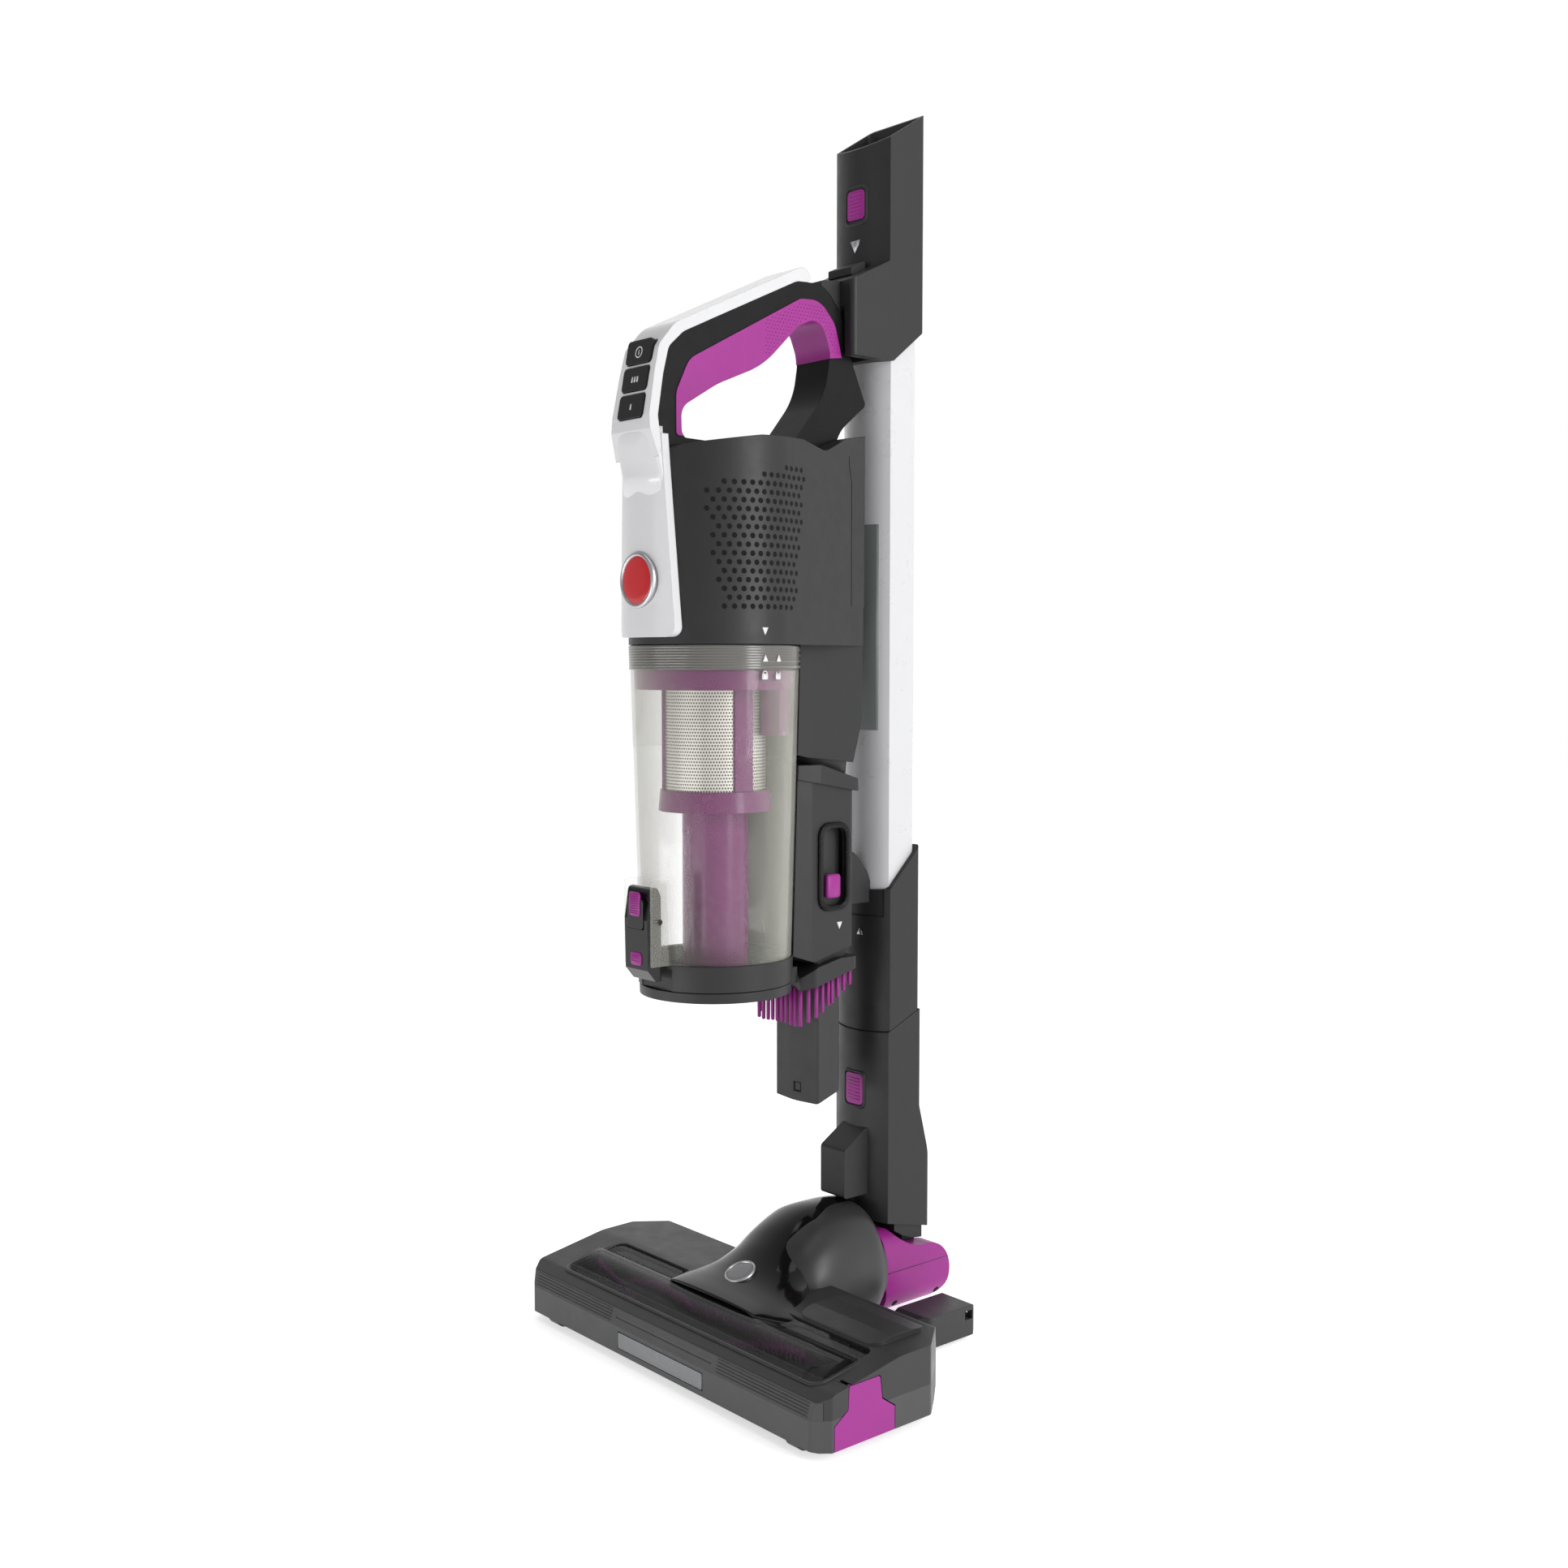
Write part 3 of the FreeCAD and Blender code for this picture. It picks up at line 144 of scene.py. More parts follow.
def moulded(name, color, rough, grain=0.0, grain_scale=2600.0, spread=0.08, edge=0.0006, coat=0.0,
            lit_edges=0.25, specular=0.3, metallic=0.0):
    """Moulded plastic: mottled colour, uneven gloss, moulded grain and edges painted lighter as a
    highlight.
    """
    mat, tree, shader = new_material(name)
    where = coordinates(tree)
    slow = noise(tree, where, 38.0, 4.0)
    if edge > 0:
        rounded = rounded_normal(tree, edge)
        edge_lit = painted_edge_highlight(tree, rounded)
    else:
        rounded = add(tree, "ShaderNodeNewGeometry").outputs["Normal"]
        edge_lit = 0.0
    dark = tuple(c * (1 - spread) for c in color)
    light = tuple(min(1.0, c * (1 + spread)) for c in color)
    body = mix_color(tree, slow, dark, light)
    # edge colour lifted towards a lighter tone: a painted highlight along every sharp edge
    highlight_tone = tuple(min(1.0, c * 1.5 + 0.012) for c in color)
    tree.links.new(mix_color(tree, calc(tree, "MULTIPLY", edge_lit, lit_edges), body, highlight_tone),
                   shader.inputs["Base Color"])
    smear = noise(tree, where, 95.0, 5.0, 0.6)
    tree.links.new(remap(tree, smear, 0.3, 0.7, max(0.02, rough - 0.05), rough + 0.06),
                   shader.inputs["Roughness"])
    shader.inputs["Specular IOR Level"].default_value = specular
    shader.inputs["Coat Weight"].default_value = coat
    shader.inputs["Coat Roughness"].default_value = 0.06
    shader.inputs["Metallic"].default_value = metallic
    if grain > 0:
        bump_normal(tree, shader, noise(tree, where, grain_scale, 2.0), grain, 0.00012, rounded)
    else:
        tree.links.new(rounded, shader.inputs["Normal"])
    return mat


def metal(name, color, rough, brushed=0.15, stretch=(1.0, 1.0, 0.02), scale=900.0):
    """Metal with fine brushing drawn out along one axis."""
    mat, tree, shader = new_material(name)
    mapping = add(tree, "ShaderNodeMapping")
    mapping.inputs["Scale"].default_value = stretch
    tree.links.new(coordinates(tree), mapping.inputs["Vector"])
    streak = noise(tree, mapping.outputs[0], scale, 3.0)
    dark = tuple(c * 0.9 for c in color)
    tree.links.new(mix_color(tree, streak, dark, color), shader.inputs["Base Color"])
    tree.links.new(remap(tree, streak, 0.3, 0.7, rough - 0.06, rough + 0.08), shader.inputs["Roughness"])
    shader.inputs["Metallic"].default_value = 1.0
    bump_normal(tree, shader, streak, brushed, 0.00005, rounded_normal(tree, 0.0004))
    return mat


BLACK = (0.016, 0.016, 0.017)
GLOSS_BLACK = (0.004, 0.004, 0.0045)
PURPLE = (0.26, 0.016, 0.20)
WHITE = (0.56, 0.56, 0.57)

matte_black = moulded("matte_black_plastic", BLACK, 0.42, grain=0.35)
soft_black = moulded("soft_black_plastic", (0.026, 0.026, 0.027), 0.5, grain=0.5)
head_grey = moulded("head_black_plastic", (0.030, 0.030, 0.031), 0.36, grain=0.25)
bumper_black = moulded("bumper_plastic", (0.05, 0.05, 0.051), 0.5, grain=0.4)
head_lower = moulded("head_lower_plastic", (0.055, 0.055, 0.057), 0.45, grain=0.3)
satin_black = moulded("satin_black_plastic", (0.006, 0.006, 0.0065), 0.28, spread=0.05, specular=0.14)
gloss_black = moulded("gloss_black_plastic", GLOSS_BLACK, 0.14, coat=0.22, spread=0.05, specular=0.2)
purple = moulded("purple_plastic", PURPLE, 0.33, grain=0.15)
purple_gloss = moulded("purple_inner_plastic", (0.15, 0.018, 0.115), 0.25)
white_gloss = moulded("white_gloss_plastic", WHITE, 0.16, coat=0.35, spread=0.015, lit_edges=0.0)
black_rubber = moulded("black_rubber", (0.015, 0.015, 0.016), 0.7, grain=0.5, grain_scale=1800.0)
wheel_grey = moulded("wheel_plastic", (0.05, 0.05, 0.052), 0.5, grain=0.3)
tube_alloy = moulded("tube_coated_alloy", (0.54, 0.54, 0.555), 0.3, spread=0.02, lit_edges=0.0, edge=0.0,
                     metallic=0.1)
# near-black: painted shade in vent holes, screw pockets and the nozzle pocket, and the real dark battery
# parting line
shade_and_seam_black = moulded("painted_shade_and_seam_black", (0.002, 0.002, 0.002), 0.9, spread=0.02, lit_edges=0.0)
bristle_purple = moulded("nylon_bristle", (0.22, 0.016, 0.17), 0.45, lit_edges=0.0)
strip_grey = moulded("printed_strip", (0.15, 0.17, 0.165), 0.4, spread=0.03, lit_edges=0.0)
purple_dark = moulded("purple_emboss", (0.10, 0.006, 0.08), 0.4, lit_edges=0.0)
bell_grey = moulded("bell_plastic", (0.030, 0.030, 0.031), 0.34, grain=0.2)
silver = metal("satin_silver", (0.50, 0.50, 0.52), 0.32, stretch=(1.0, 1.0, 1.0))
badge_red = moulded("badge_red_enamel", (0.42, 0.012, 0.016), 0.15, coat=0.4, lit_edges=0.0)
badge_grey = moulded("badge_grey_enamel", (0.17, 0.17, 0.175), 0.25, coat=0.3, lit_edges=0.0)
pin_steel = metal("pin_steel", (0.5, 0.5, 0.52), 0.32, stretch=(0.02, 1.0, 1.0))
motor_casing = metal("motor_casing", (0.25, 0.26, 0.28), 0.42)
cell_wrap = moulded("cell_wrap", (0.04, 0.16, 0.38), 0.3)
filter_media = moulded("filter_media", (0.66, 0.64, 0.58), 0.85, grain=0.8, grain_scale=900.0)
board_green = moulded("circuit_board", (0.01, 0.09, 0.035), 0.35, grain=0.3, grain_scale=500.0)


def clear_plastic(name, tint, alpha_face, alpha_edge, rough=0.04):
    """Thin clear moulding: faint tint face on, denser where it is seen edge on."""
    mat, tree, shader = new_material(name)
    where = coordinates(tree)
    slow = noise(tree, where, 30.0)
    dark = tuple(c * 0.85 for c in tint)
    tree.links.new(mix_color(tree, slow, dark, tint), shader.inputs["Base Color"])
    tree.links.new(remap(tree, noise(tree, where, 120.0, 5.0), 0.3, 0.7, rough * 0.6, rough * 2.2),
                   shader.inputs["Roughness"])
    facing = add(tree, "ShaderNodeLayerWeight")
    facing.inputs["Blend"].default_value = 0.35
    tree.links.new(remap(tree, facing.outputs["Facing"], 0.0, 1.0, alpha_face, alpha_edge),
                   shader.inputs["Alpha"])
    shader.inputs["Specular IOR Level"].default_value = 0.7
    return mat


bin_clear = clear_plastic("clear_bin_plastic", (0.50, 0.50, 0.44), 0.05, 0.62)
window_clear = clear_plastic("clear_window_plastic", (0.012, 0.012, 0.013), 0.10, 0.6)
lens_clear = clear_plastic("frosted_lens", (0.22, 0.225, 0.235), 0.6, 0.95, 0.25)


SCREEN_RADIUS = 0.027
HOLE_PITCH = 0.0015      # round the screen
HOLE_ROW = 0.0017        # from one row of holes to the next


def steel_mesh_material():
    """Perforated steel sheet: rows of small round holes around the bin's axis, the holes painted
    near-black as the shade behind them.
    """
    mat, tree, shader = new_material("perforated_steel")
    split = add(tree, "ShaderNodeSeparateXYZ")
    tree.links.new(coordinates(tree), split.inputs[0])
    shifted = calc(tree, "SUBTRACT", split.outputs["Y"], BIN_Y)
    around = calc(tree, "MULTIPLY", calc(tree, "ARCTAN2", shifted, split.outputs["X"]),
                  SCREEN_RADIUS / HOLE_PITCH)
    up = calc(tree, "DIVIDE", split.outputs["Z"], HOLE_ROW)
    row = calc(tree, "FLOOR", up)
    stagger = calc(tree, "MULTIPLY", calc(tree, "MODULO", row, 2.0), 0.5)
    u = calc(tree, "SUBTRACT", calc(tree, "FRACT", calc(tree, "ADD", around, stagger)), 0.5)
    v = calc(tree, "SUBTRACT", calc(tree, "FRACT", up), 0.5)
    distance = calc(tree, "SQRT", calc(tree, "ADD", calc(tree, "MULTIPLY", u, u),
                                       calc(tree, "MULTIPLY", v, v)))
    hole = remap(tree, distance, 0.26, 0.34, 1.0, 0.0)
    color = mix_color(tree, noise(tree, coordinates(tree), 60.0), (0.62, 0.60, 0.54), (0.78, 0.76, 0.70))
    # holes coloured near-black: painted shade seen through the perforations
    tree.links.new(mix_color(tree, hole, color, (0.05, 0.045, 0.04)), shader.inputs["Base Color"])
    tree.links.new(remap(tree, hole, 0.0, 1.0, 0.9, 0.0), shader.inputs["Metallic"])
    tree.links.new(remap(tree, hole, 0.0, 1.0, 0.34, 0.8), shader.inputs["Roughness"])
    bump_normal(tree, shader, calc(tree, "SUBTRACT", 1.0, hole), 0.5, 0.0003)
    return mat


smoked = clear_plastic("smoked_collar_plastic", (0.10, 0.095, 0.085), 0.9, 1.0, 0.12)
steel_mesh = steel_mesh_material()

finishes = {
    "head_base": head_lower, "base_screws": pin_steel, "sole_squeegee": black_rubber,
    "light_lens": lens_clear, "light_board": board_green, "head_top_cover": head_grey,
    "bumper_strip": bumper_black, "brush_window": window_clear, "brush_motor": motor_casing,
    "motor_pulley": pin_steel, "brush_core": matte_black, "brush_bristles": purple,
    "drive_belt": black_rubber, "brush_release_latch": purple, "front_wheel_right": wheel_grey,
    "front_wheel_left": wheel_grey, "rear_arm_right": head_grey, "rear_arm_left": head_grey,
    "rear_wheel_right": wheel_grey, "rear_wheel_left": wheel_grey, "pivot_housing": matte_black,
    "dome_cover": gloss_black, "dome_badge": silver, "swivel_upper_shell": purple,
    "swivel_lower_shell": purple, "recline_pin": pin_steel, "neck_shell": matte_black,
    "neck_button": purple, "lower_sleeve": matte_black, "wand_tube": tube_alloy,
    "top_sleeve": matte_black, "wand_button": purple, "dock_bracket": matte_black,
    "dock_latch": matte_black, "body_shell": matte_black, "battery_pack": matte_black,
    "battery_cells": cell_wrap, "suction_motor": motor_casing, "impeller": wheel_grey,
    "exhaust_filter": filter_media, "handle_grip": purple, "handle_frame": satin_black,
    "front_trim": white_gloss, "control_board": board_green, "button_power": gloss_black,
    "button_boost": gloss_black, "button_quiet": gloss_black, "trim_badge": silver,
    "duct_housing": matte_black, "nozzle_tube": soft_black, "dusting_tool": matte_black,
    "dusting_bristles": purple, "tool_button": purple, "bin_wall": bin_clear,
    "bin_base_ring": matte_black, "bin_flap": matte_black, "flap_lever": gloss_black,
    "cyclone_shroud": purple_gloss, "mesh_screen": steel_mesh, "motor_filter": filter_media,
}


def finish_node(name, mat):
    mesh = nodes[name].data
    mesh.materials.clear()
    mesh.materials.append(mat)
    for polygon in mesh.polygons:
        polygon.material_index = 0


for node_name, node_finish in finishes.items():
    finish_node(node_name, node_finish)


# ---- mesh helpers: every point is millimetres about the wand's centre line -----------------------
def place(x, y, z):
    return Vector((x * MM, y * MM + WAND_Y, z * MM))


def piece(name, body, mat, build, smooth=True):
    """Finished mesh as a named object that rides one body."""
    bmesh.ops.recalc_face_normals(build, faces=build.faces)
    mesh = bpy.data.meshes.new(name)
    build.to_mesh(mesh)
    build.free()
    mesh.materials.append(mat)
    for polygon in mesh.polygons:
        polygon.use_smooth = smooth
    obj = bpy.data.objects.new(name, mesh)
    bpy.context.scene.collection.objects.link(obj)
    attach(obj, body)
    return obj


def skin(build, rings):
    """Quad skin through a list of equally long closed rings, with a cap on each end."""
    rows = [[build.verts.new(p) for p in ring] for ring in rings]
    join_rows(build, list(zip(rows, rows[1:])))
    build.faces.new(rows[0])
    build.faces.new(tuple(reversed(rows[-1])))


def closed_skin(build, rings):
    """Quad skin through rings that come back to the first one, as on a hoop or a picture frame."""
    rows = [[build.verts.new(p) for p in ring] for ring in rings]
    join_rows(build, list(zip(rows, rows[1:] + rows[:1])))


def join_rows(build, pairs):
    """Quads between each pair of closed vertex rows."""
    for a, b in pairs:
        for i in range(len(a)):
            j = (i + 1) % len(a)
            build.faces.new((a[i], a[j], b[j], b[i]))


def rounded_outline(half_u, half_v, radius, steps=4):
    """Counterclockwise rounded rectangle about the origin."""
    points = []
    for cu, cv, start in ((1, 1, 0), (-1, 1, 90), (-1, -1, 180), (1, -1, 270)):
        for i in range(steps + 1):
            angle = math.radians(start + 90 * i / steps)
            points.append((cu * (half_u - radius) + radius * math.cos(angle),
                           cv * (half_v - radius) + radius * math.sin(angle)))
    return points


def scaled(points, inset):
    """Outline moved inwards by about the inset."""
    reach_u = max(abs(u) for u, v in points)
    reach_v = max(abs(v) for u, v in points)
    return [(u * (reach_u - inset) / reach_u, v * (reach_v - inset) / reach_v) for u, v in points]


def plate(build, points, to_space, low, high, bevel=0.3):
    """Closed plate from an outline, with a bevelled upper edge; to_space maps (u, v, height)."""
    rings = [[to_space(u, v, low) for u, v in points],
             [to_space(u, v, high - bevel) for u, v in points],
             [to_space(u, v, high) for u, v in scaled(points, bevel)]]
    skin(build, rings)


def frame_ring(build, outer, inner, to_space, low, high):
    """Raised picture-frame rim between two outlines of equal length."""
    closed_skin(build, [[to_space(u, v, low) for u, v in outer],
                        [to_space(u, v, high) for u, v in scaled(outer, 0.35)],
                        [to_space(u, v, high) for u, v in inner],
                        [to_space(u, v, low) for u, v in inner]])


def on_plane(origin, across, rise, normal):
    """Drawing plane: maps (u, v, height) in millimetres to a point."""
    return lambda u, v, h: origin + across * (u * MM) + rise * (v * MM) + normal * (h * MM)


def tangents(normal):
    """Level and rising directions of the surface that has this normal."""
    across = normal.cross(PLUS_Z).normalized()
    return across, across.cross(normal).normalized()


def surface_of(*names):
    """Ray-cast tree over CAD nodes."""
    build = bmesh.new()
    for name in names:
        build.from_mesh(nodes[name].data)
    tree = BVHTree.FromBMesh(build)
    build.free()
    return tree


def side_hit(tree, side, y, z, reach=90.0):
    """Point and normal of the surface seen from one side, or None twice."""
    return tree.ray_cast(place(side * reach, y, z), Vector((-side, 0.0, 0.0)))[:2]


def sleeve_front(x, half=22.0, ridge=-4.0, front=-10.5):
    """Front face of the crowned sleeve section at x."""
    sag = ridge - front
    radius = (half * half + sag * sag) / (2 * sag)
    return front + radius - math.sqrt(radius * radius - x * x)


# ---- dome: one sweeping glossy cover over a matte pivot bell -------------------------------------
def spline(table, t):
    """Catmull-Rom value of a row table at t in 0..1."""
    last = len(table) - 1
    where = min(t * last, last - 1e-6)
    i = int(where)
    f = where - i
    rows = [table[max(0, min(last, i + k))] for k in (-1, 0, 1, 2)]
    return [0.5 * (2 * b + (c - a) * f + (2 * a - 5 * b + 4 * c - d) * f * f
                   + (3 * b - a - 3 * c + d) * f ** 3) for a, b, c, d in zip(*rows)]


DOME_ROWS = [(-119.0, 33.0, 42.0, 42.6), (-114.5, 34.0, 42.0, 43.4), (-105.0, 35.0, 41.0, 44.9),
             (-95.0, 34.5, 38.0, 47.4), (-85.0, 33.0, 33.0, 52.6), (-75.0, 31.5, 28.0, 60.0),
             (-65.0, 30.0, 24.0, 67.6), (-55.0, 28.0, 21.0, 73.0), (-46.0, 26.0, 19.5, 75.6),
             (-36.0, 24.0, 18.0, 76.2), (-26.0, 22.0, 16.0, 76.1), (-17.0, 19.0, 13.0, 74.6),
             (-13.5, 16.0, 11.0, 72.0)]
DOME_BASE = 36.0         # lower edge over the window; it rises towards the bell
DOME_STEPS = 48
DOME_WALL = 1.5


def ramp(value, start, end):
    """0 at start and 1 at end, held at those values outside them."""
    return max(0.0, min(1.0, (value - start) / (end - start)))


def dome_arch(row, inset, steps=36):
    y, left, right, top = row
    base = DOME_BASE + 20.0 * ramp(y, -76.0, -50.0)
    flat = ramp(y, -88.0, -119.0)
    foot = ramp(y, -72.0, -94.0)
    power = 0.85 - 0.62 * flat
    points = []
    for i in range(steps + 1):
        t = -1 + 2 * i / steps
        half = (left if t < 0 else right) - inset
        rise = max(0.0, math.cos(t * math.pi / 2)) ** power
        flare = 1 + (0.16 * t * t + (0.5 if t < 0 else 1.0) * abs(t) ** 9 * foot) * (1 - flat)
        points.append(place(half * math.sin(t * math.pi / 2) * flare, y,
                            base + (top - inset - base) * rise))
    return points


dome = bmesh.new()
dome_rings = []
for step in range(DOME_STEPS + 1):
    row = spline(DOME_ROWS, step / DOME_STEPS)
    dome_rings.append(dome_arch(row, 0.0) + list(reversed(dome_arch(row, DOME_WALL))))
skin(dome, dome_rings)
bmesh.ops.recalc_face_normals(dome, faces=dome.faces)
dome_tree = BVHTree.FromBMesh(dome)
dome_mesh = piece("dome_shell", "floorhead", gloss_black, dome)
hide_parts("dome_cover")

BELL_ROWS = [(-84.0, 20.0, 46.0), (-79.0, 27.0, 54.5), (-70.0, 32.5, 63.0), (-60.0, 34.6, 69.0),
             (-50.0, 34.8, 72.8), (-40.0, 34.0, 74.8), (-30.0, 32.6, 75.2), (-20.0, 31.0, 74.2),
             (-14.5, 29.6, 71.5), (-11.9, 28.4, 66.0), (-11.1, 27.0, 59.6), (-9.0, 25.8, 58.2),
             (-6.5, 24.9, 56.8)]
BELL_STEPS = 48
BELL_WALL = 2.4
STEER_Z = 32.0           # height of the steering axis
BELL_SOLE_Z = 7.0        # flat underside of the bell


def bell_loop(row, inset):
    """Section of the bell: wide crown above the steering axis, round below, flat at the bottom."""
    y, half, top = row
    loop = []
    for k in range(72):
        angle = k * math.tau / 72
        u, v = math.cos(angle), math.sin(angle)
        if v > 0:
            u = math.copysign(abs(u) ** 0.8, u)
            v = v ** 0.8
        reach = top - STEER_Z - inset if v > 0 else half - inset
        loop.append(place((half - inset) * u, y, max(BELL_SOLE_Z + inset, STEER_Z + reach * v)))
    return loop


bell = bmesh.new()
bell_rows = [spline(BELL_ROWS, step / BELL_STEPS) for step in range(BELL_STEPS + 1)]
closed_skin(bell, [bell_loop(row, 0.0) for row in bell_rows]
            + [bell_loop(row, BELL_WALL) for row in reversed(bell_rows)])
bell_mesh = piece("pivot_bell", "floorhead", bell_grey, bell)
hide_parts("pivot_housing")

# ---- brush roll: four rows of tufts that wind opposite ways on the two sides ---------------------
BRUSH_Y, BRUSH_Z = -121.0, 20.0
BRUSH_START, BRUSH_LENGTH = -98.0, 182.0
TUFT_PITCH = 2.95
TUFT_REACH = 16.2        # from the roll's axis to the tips
rng = random.Random(7)
tufts = bmesh.new()
for row in range(4):
    for i in range(62):
        x = BRUSH_START + i * TUFT_PITCH
        along = (x - BRUSH_START) / BRUSH_LENGTH
        turn = math.radians(row * 90.0 + 200.0 * (along if x < -6 else 1.0 - along))
        for strand in range(5):
            lean = turn + rng.uniform(-0.05, 0.05)
            shift = x + rng.uniform(-0.9, 0.9)
            tip = TUFT_REACH + rng.uniform(-0.5, 0.5)
            bend = lean + rng.uniform(-0.06, 0.06)
            rings = []
            for radius, angle, width in ((8.8, lean, 0.34), (12.5, lean, 0.3), (tip, bend, 0.2)):
                cy = BRUSH_Y + radius * math.cos(angle)
                cz = BRUSH_Z + radius * math.sin(angle)
                rings.append([place(shift + width * math.cos(k * math.tau / 3),
                                    cy - width * math.sin(k * math.tau / 3) * math.sin(angle),
                                    cz + width * math.sin(k * math.tau / 3) * math.cos(angle))
                              for k in range(3)])
            skin(tufts, rings)
brush_tufts = piece("brush_tufts", "brush_roll", bristle_purple, tufts)
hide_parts("brush_bristles")

# ---- dusting brush tufts -------------------------------------------------------------------------
fringe = bmesh.new()
fringe_path = []
BRISTLE_PITCH = 4.1
corners = [(-24, -34.5), (-23.6, -60.5), (-18.5, -67.6), (18.5, -67.6), (23.6, -60.5), (24, -34.5)]
for (ax, ay), (bx, by) in zip(corners, corners[1:] + corners[:1]):
    steps = max(2, int(math.hypot(bx - ax, by - ay) / BRISTLE_PITCH))
    for i in range(steps):
        fringe_path.append((ax + (bx - ax) * i / steps, ay + (by - ay) * i / steps))
for x, y in fringe_path:
    sx = x * 0.95 + rng.uniform(-0.15, 0.15)
    sy = y + 0.8 * (1 if y < -50 else -1) + rng.uniform(-0.15, 0.15)
    along = (sy + 72.0) / 42.0
    top = 203.0 + 11.0 * along
    tip = 179.5 + 26.5 * along + rng.uniform(0.0, 1.0)
    skin(fringe, [[place(sx + width * math.cos(k * math.tau / 8),
                         sy + width * math.sin(k * math.tau / 8), z) for k in range(8)]
                  for z, width in ((top, 1.15), ((top + tip) / 2, 1.12), (tip + 0.5, 1.05), (tip, 0.7))])
dust_fringe = piece("dusting_tufts", "dust_brush", bristle_purple, fringe)
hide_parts("dusting_bristles")

# ---- release button frames on the neck and the wand ----------------------------------------------
for name, body, release, z, ridge, front in (
        ("neck_button", "neck", "neck_release", 137.0, -4.0, -10.5),
        ("wand_button", "wand", "wand_release", 637.0, -5.0, -11.0)):
    rim = bmesh.new()
    frame_ring(rim, rounded_outline(9.0, 11.3, 3.4), rounded_outline(7.5, 9.5, 2.8),
               lambda u, v, h: place(u, sleeve_front(u, 22.0, ridge, front) - h, z + v), -0.6, 0.7)
    piece(name + "_frame", body, matte_black, rim)
    ribs = bmesh.new()
    for i in range(7):
        height = z - 6.0 + i * 2.0
        plate(ribs, rounded_outline(5.0, 0.45, 0.4, 2),
              lambda u, v, h: place(u, sleeve_front(u, 22.3, ridge, front - 0.3) - h, height + v),
              -0.3, 0.45, 0.15)
    piece(name + "_ribs", release, purple, ribs)

mark = bmesh.new()
plate(mark, [(0.0, -3.8), (4.0, 3.4), (-4.0, 3.4)],
      lambda u, v, h: place(u, sleeve_front(u, 22.0, -5.0, -11.0) - h, 614.2 + v), -0.3, 0.35, 0.1)
piece("wand_arrow", "wand", silver, mark)

# grey rating strip on the tube, left blank
strip = bmesh.new()
skin(strip, [[place(x, sleeve_front(x, 19.0, -1.5, -8.0) - lift, z)
              for lift, z in ((-0.1, 344.0), (0.15, 344.3), (0.15, 459.7), (-0.1, 460.0))]
             for x in (0.5, 2.5, 4.5, 6.5, 8.5, 10.5, 12.0, 13.5)])
piece("tube_strip", "wand", strip_grey, strip)


# ---- round badges: a silver rim round a plain field, no lettering --------------------------------
def ring_badge(name, body, radius, to_space, field, depth=0.6):
    """Disc with a raised silver rim and a plain, slightly domed enamel field."""
    def turned(profile):
        build = bmesh.new()
        skin(build, [[to_space(max(r, 0.05) * math.cos(a * math.tau / 72),
                               max(r, 0.05) * math.sin(a * math.tau / 72), h) for a in range(72)]
                     for r, h in profile])
        return build

    piece(name + "_field", body, field, turned([
        (0.0, 0.62), (radius * 0.45, 0.58), (radius * 0.8, 0.42), (radius * 0.87, 0.2),
        (radius * 0.88, -0.5)]))
    return piece(name, body, silver, turned([
        (radius * 0.84, -0.5), (radius * 0.86, 0.6), (radius * 0.9, 0.85), (radius * 0.96, 0.8),
        (radius, 0.3), (radius, -depth)]))


front_disc = ring_badge("front_badge_rings", "hand_unit", 14.4, lambda u, v, h: place(
    u, -162.4 - h, 424.0 + v), badge_red, depth=3.0)
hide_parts("trim_badge")

BADGE_LIFT = 0.8         # how far the disc stands off the dome
dome_hit, dome_normal = dome_tree.ray_cast(place(0.0, -95.0, 90.0), -PLUS_Z)[:2]
dome_up = Vector((0.0, dome_normal.z, -dome_normal.y)).normalized()
dome_disc = ring_badge("dome_badge_rings", "floorhead", 9.0, on_plane(
    dome_hit + dome_normal * (BADGE_LIFT * MM), PLUS_X, dome_up, dome_normal),
    badge_grey, 1.6)
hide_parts("dome_badge")

# ---- head: window rim, bumper bands, latch arrow -------------------------------------------------
WINDOW_X, WINDOW_Y = 5.0, -120.6
WINDOW_HALF_X, WINDOW_HALF_Y = 109.6, 20.9
rim = bmesh.new()
loops = []
for offset, lift in ((1.6, -0.4), (1.2, 0.45), (0.2, 0.6), (-0.6, 0.1), (-0.9, -1.2)):
    loop = []
    for u, v in rounded_outline(WINDOW_HALF_X, WINDOW_HALF_Y, 7.0, 6):
        x = WINDOW_X + u * (WINDOW_HALF_X + offset) / WINDOW_HALF_X
        y = WINDOW_Y + v * (WINDOW_HALF_Y + offset) / WINDOW_HALF_Y
        along = (y + 141.0) / 43.0
        loop.append(place(x, y, 33.2 + 8.0 * along - 1.6 * along * along + lift))
    loops.append(loop)
closed_skin(rim, loops)
piece("window_rim", "floorhead", head_grey, rim)

BAND_Z, BAND_PITCH = 21.9, 1.55
bands = bmesh.new()
for low, high in ((-119.0, -44.0), (48.0, 119.0)):
    for i in range(5):
        z = BAND_Z + i * BAND_PITCH
        lean = max(0.0, (z - 20.7) / 8.7) * 2.5
        y = -151.55 + lean
        rings = []
        for x in (low, low + 0.8, high - 0.8, high):
            grow = 0.0 if x in (low, high) else 0.38
            rings.append([place(x, y - grow + 0.15, z - 0.42), place(x, y - grow - 0.05, z - 0.2),
                          place(x, y - grow + 0.05, z + 0.2), place(x, y - grow + 0.4, z + 0.42),
                          place(x, y + 1.0, z)])
        skin(bands, rings)
piece("bumper_ribs", "floorhead", bumper_black, bands)

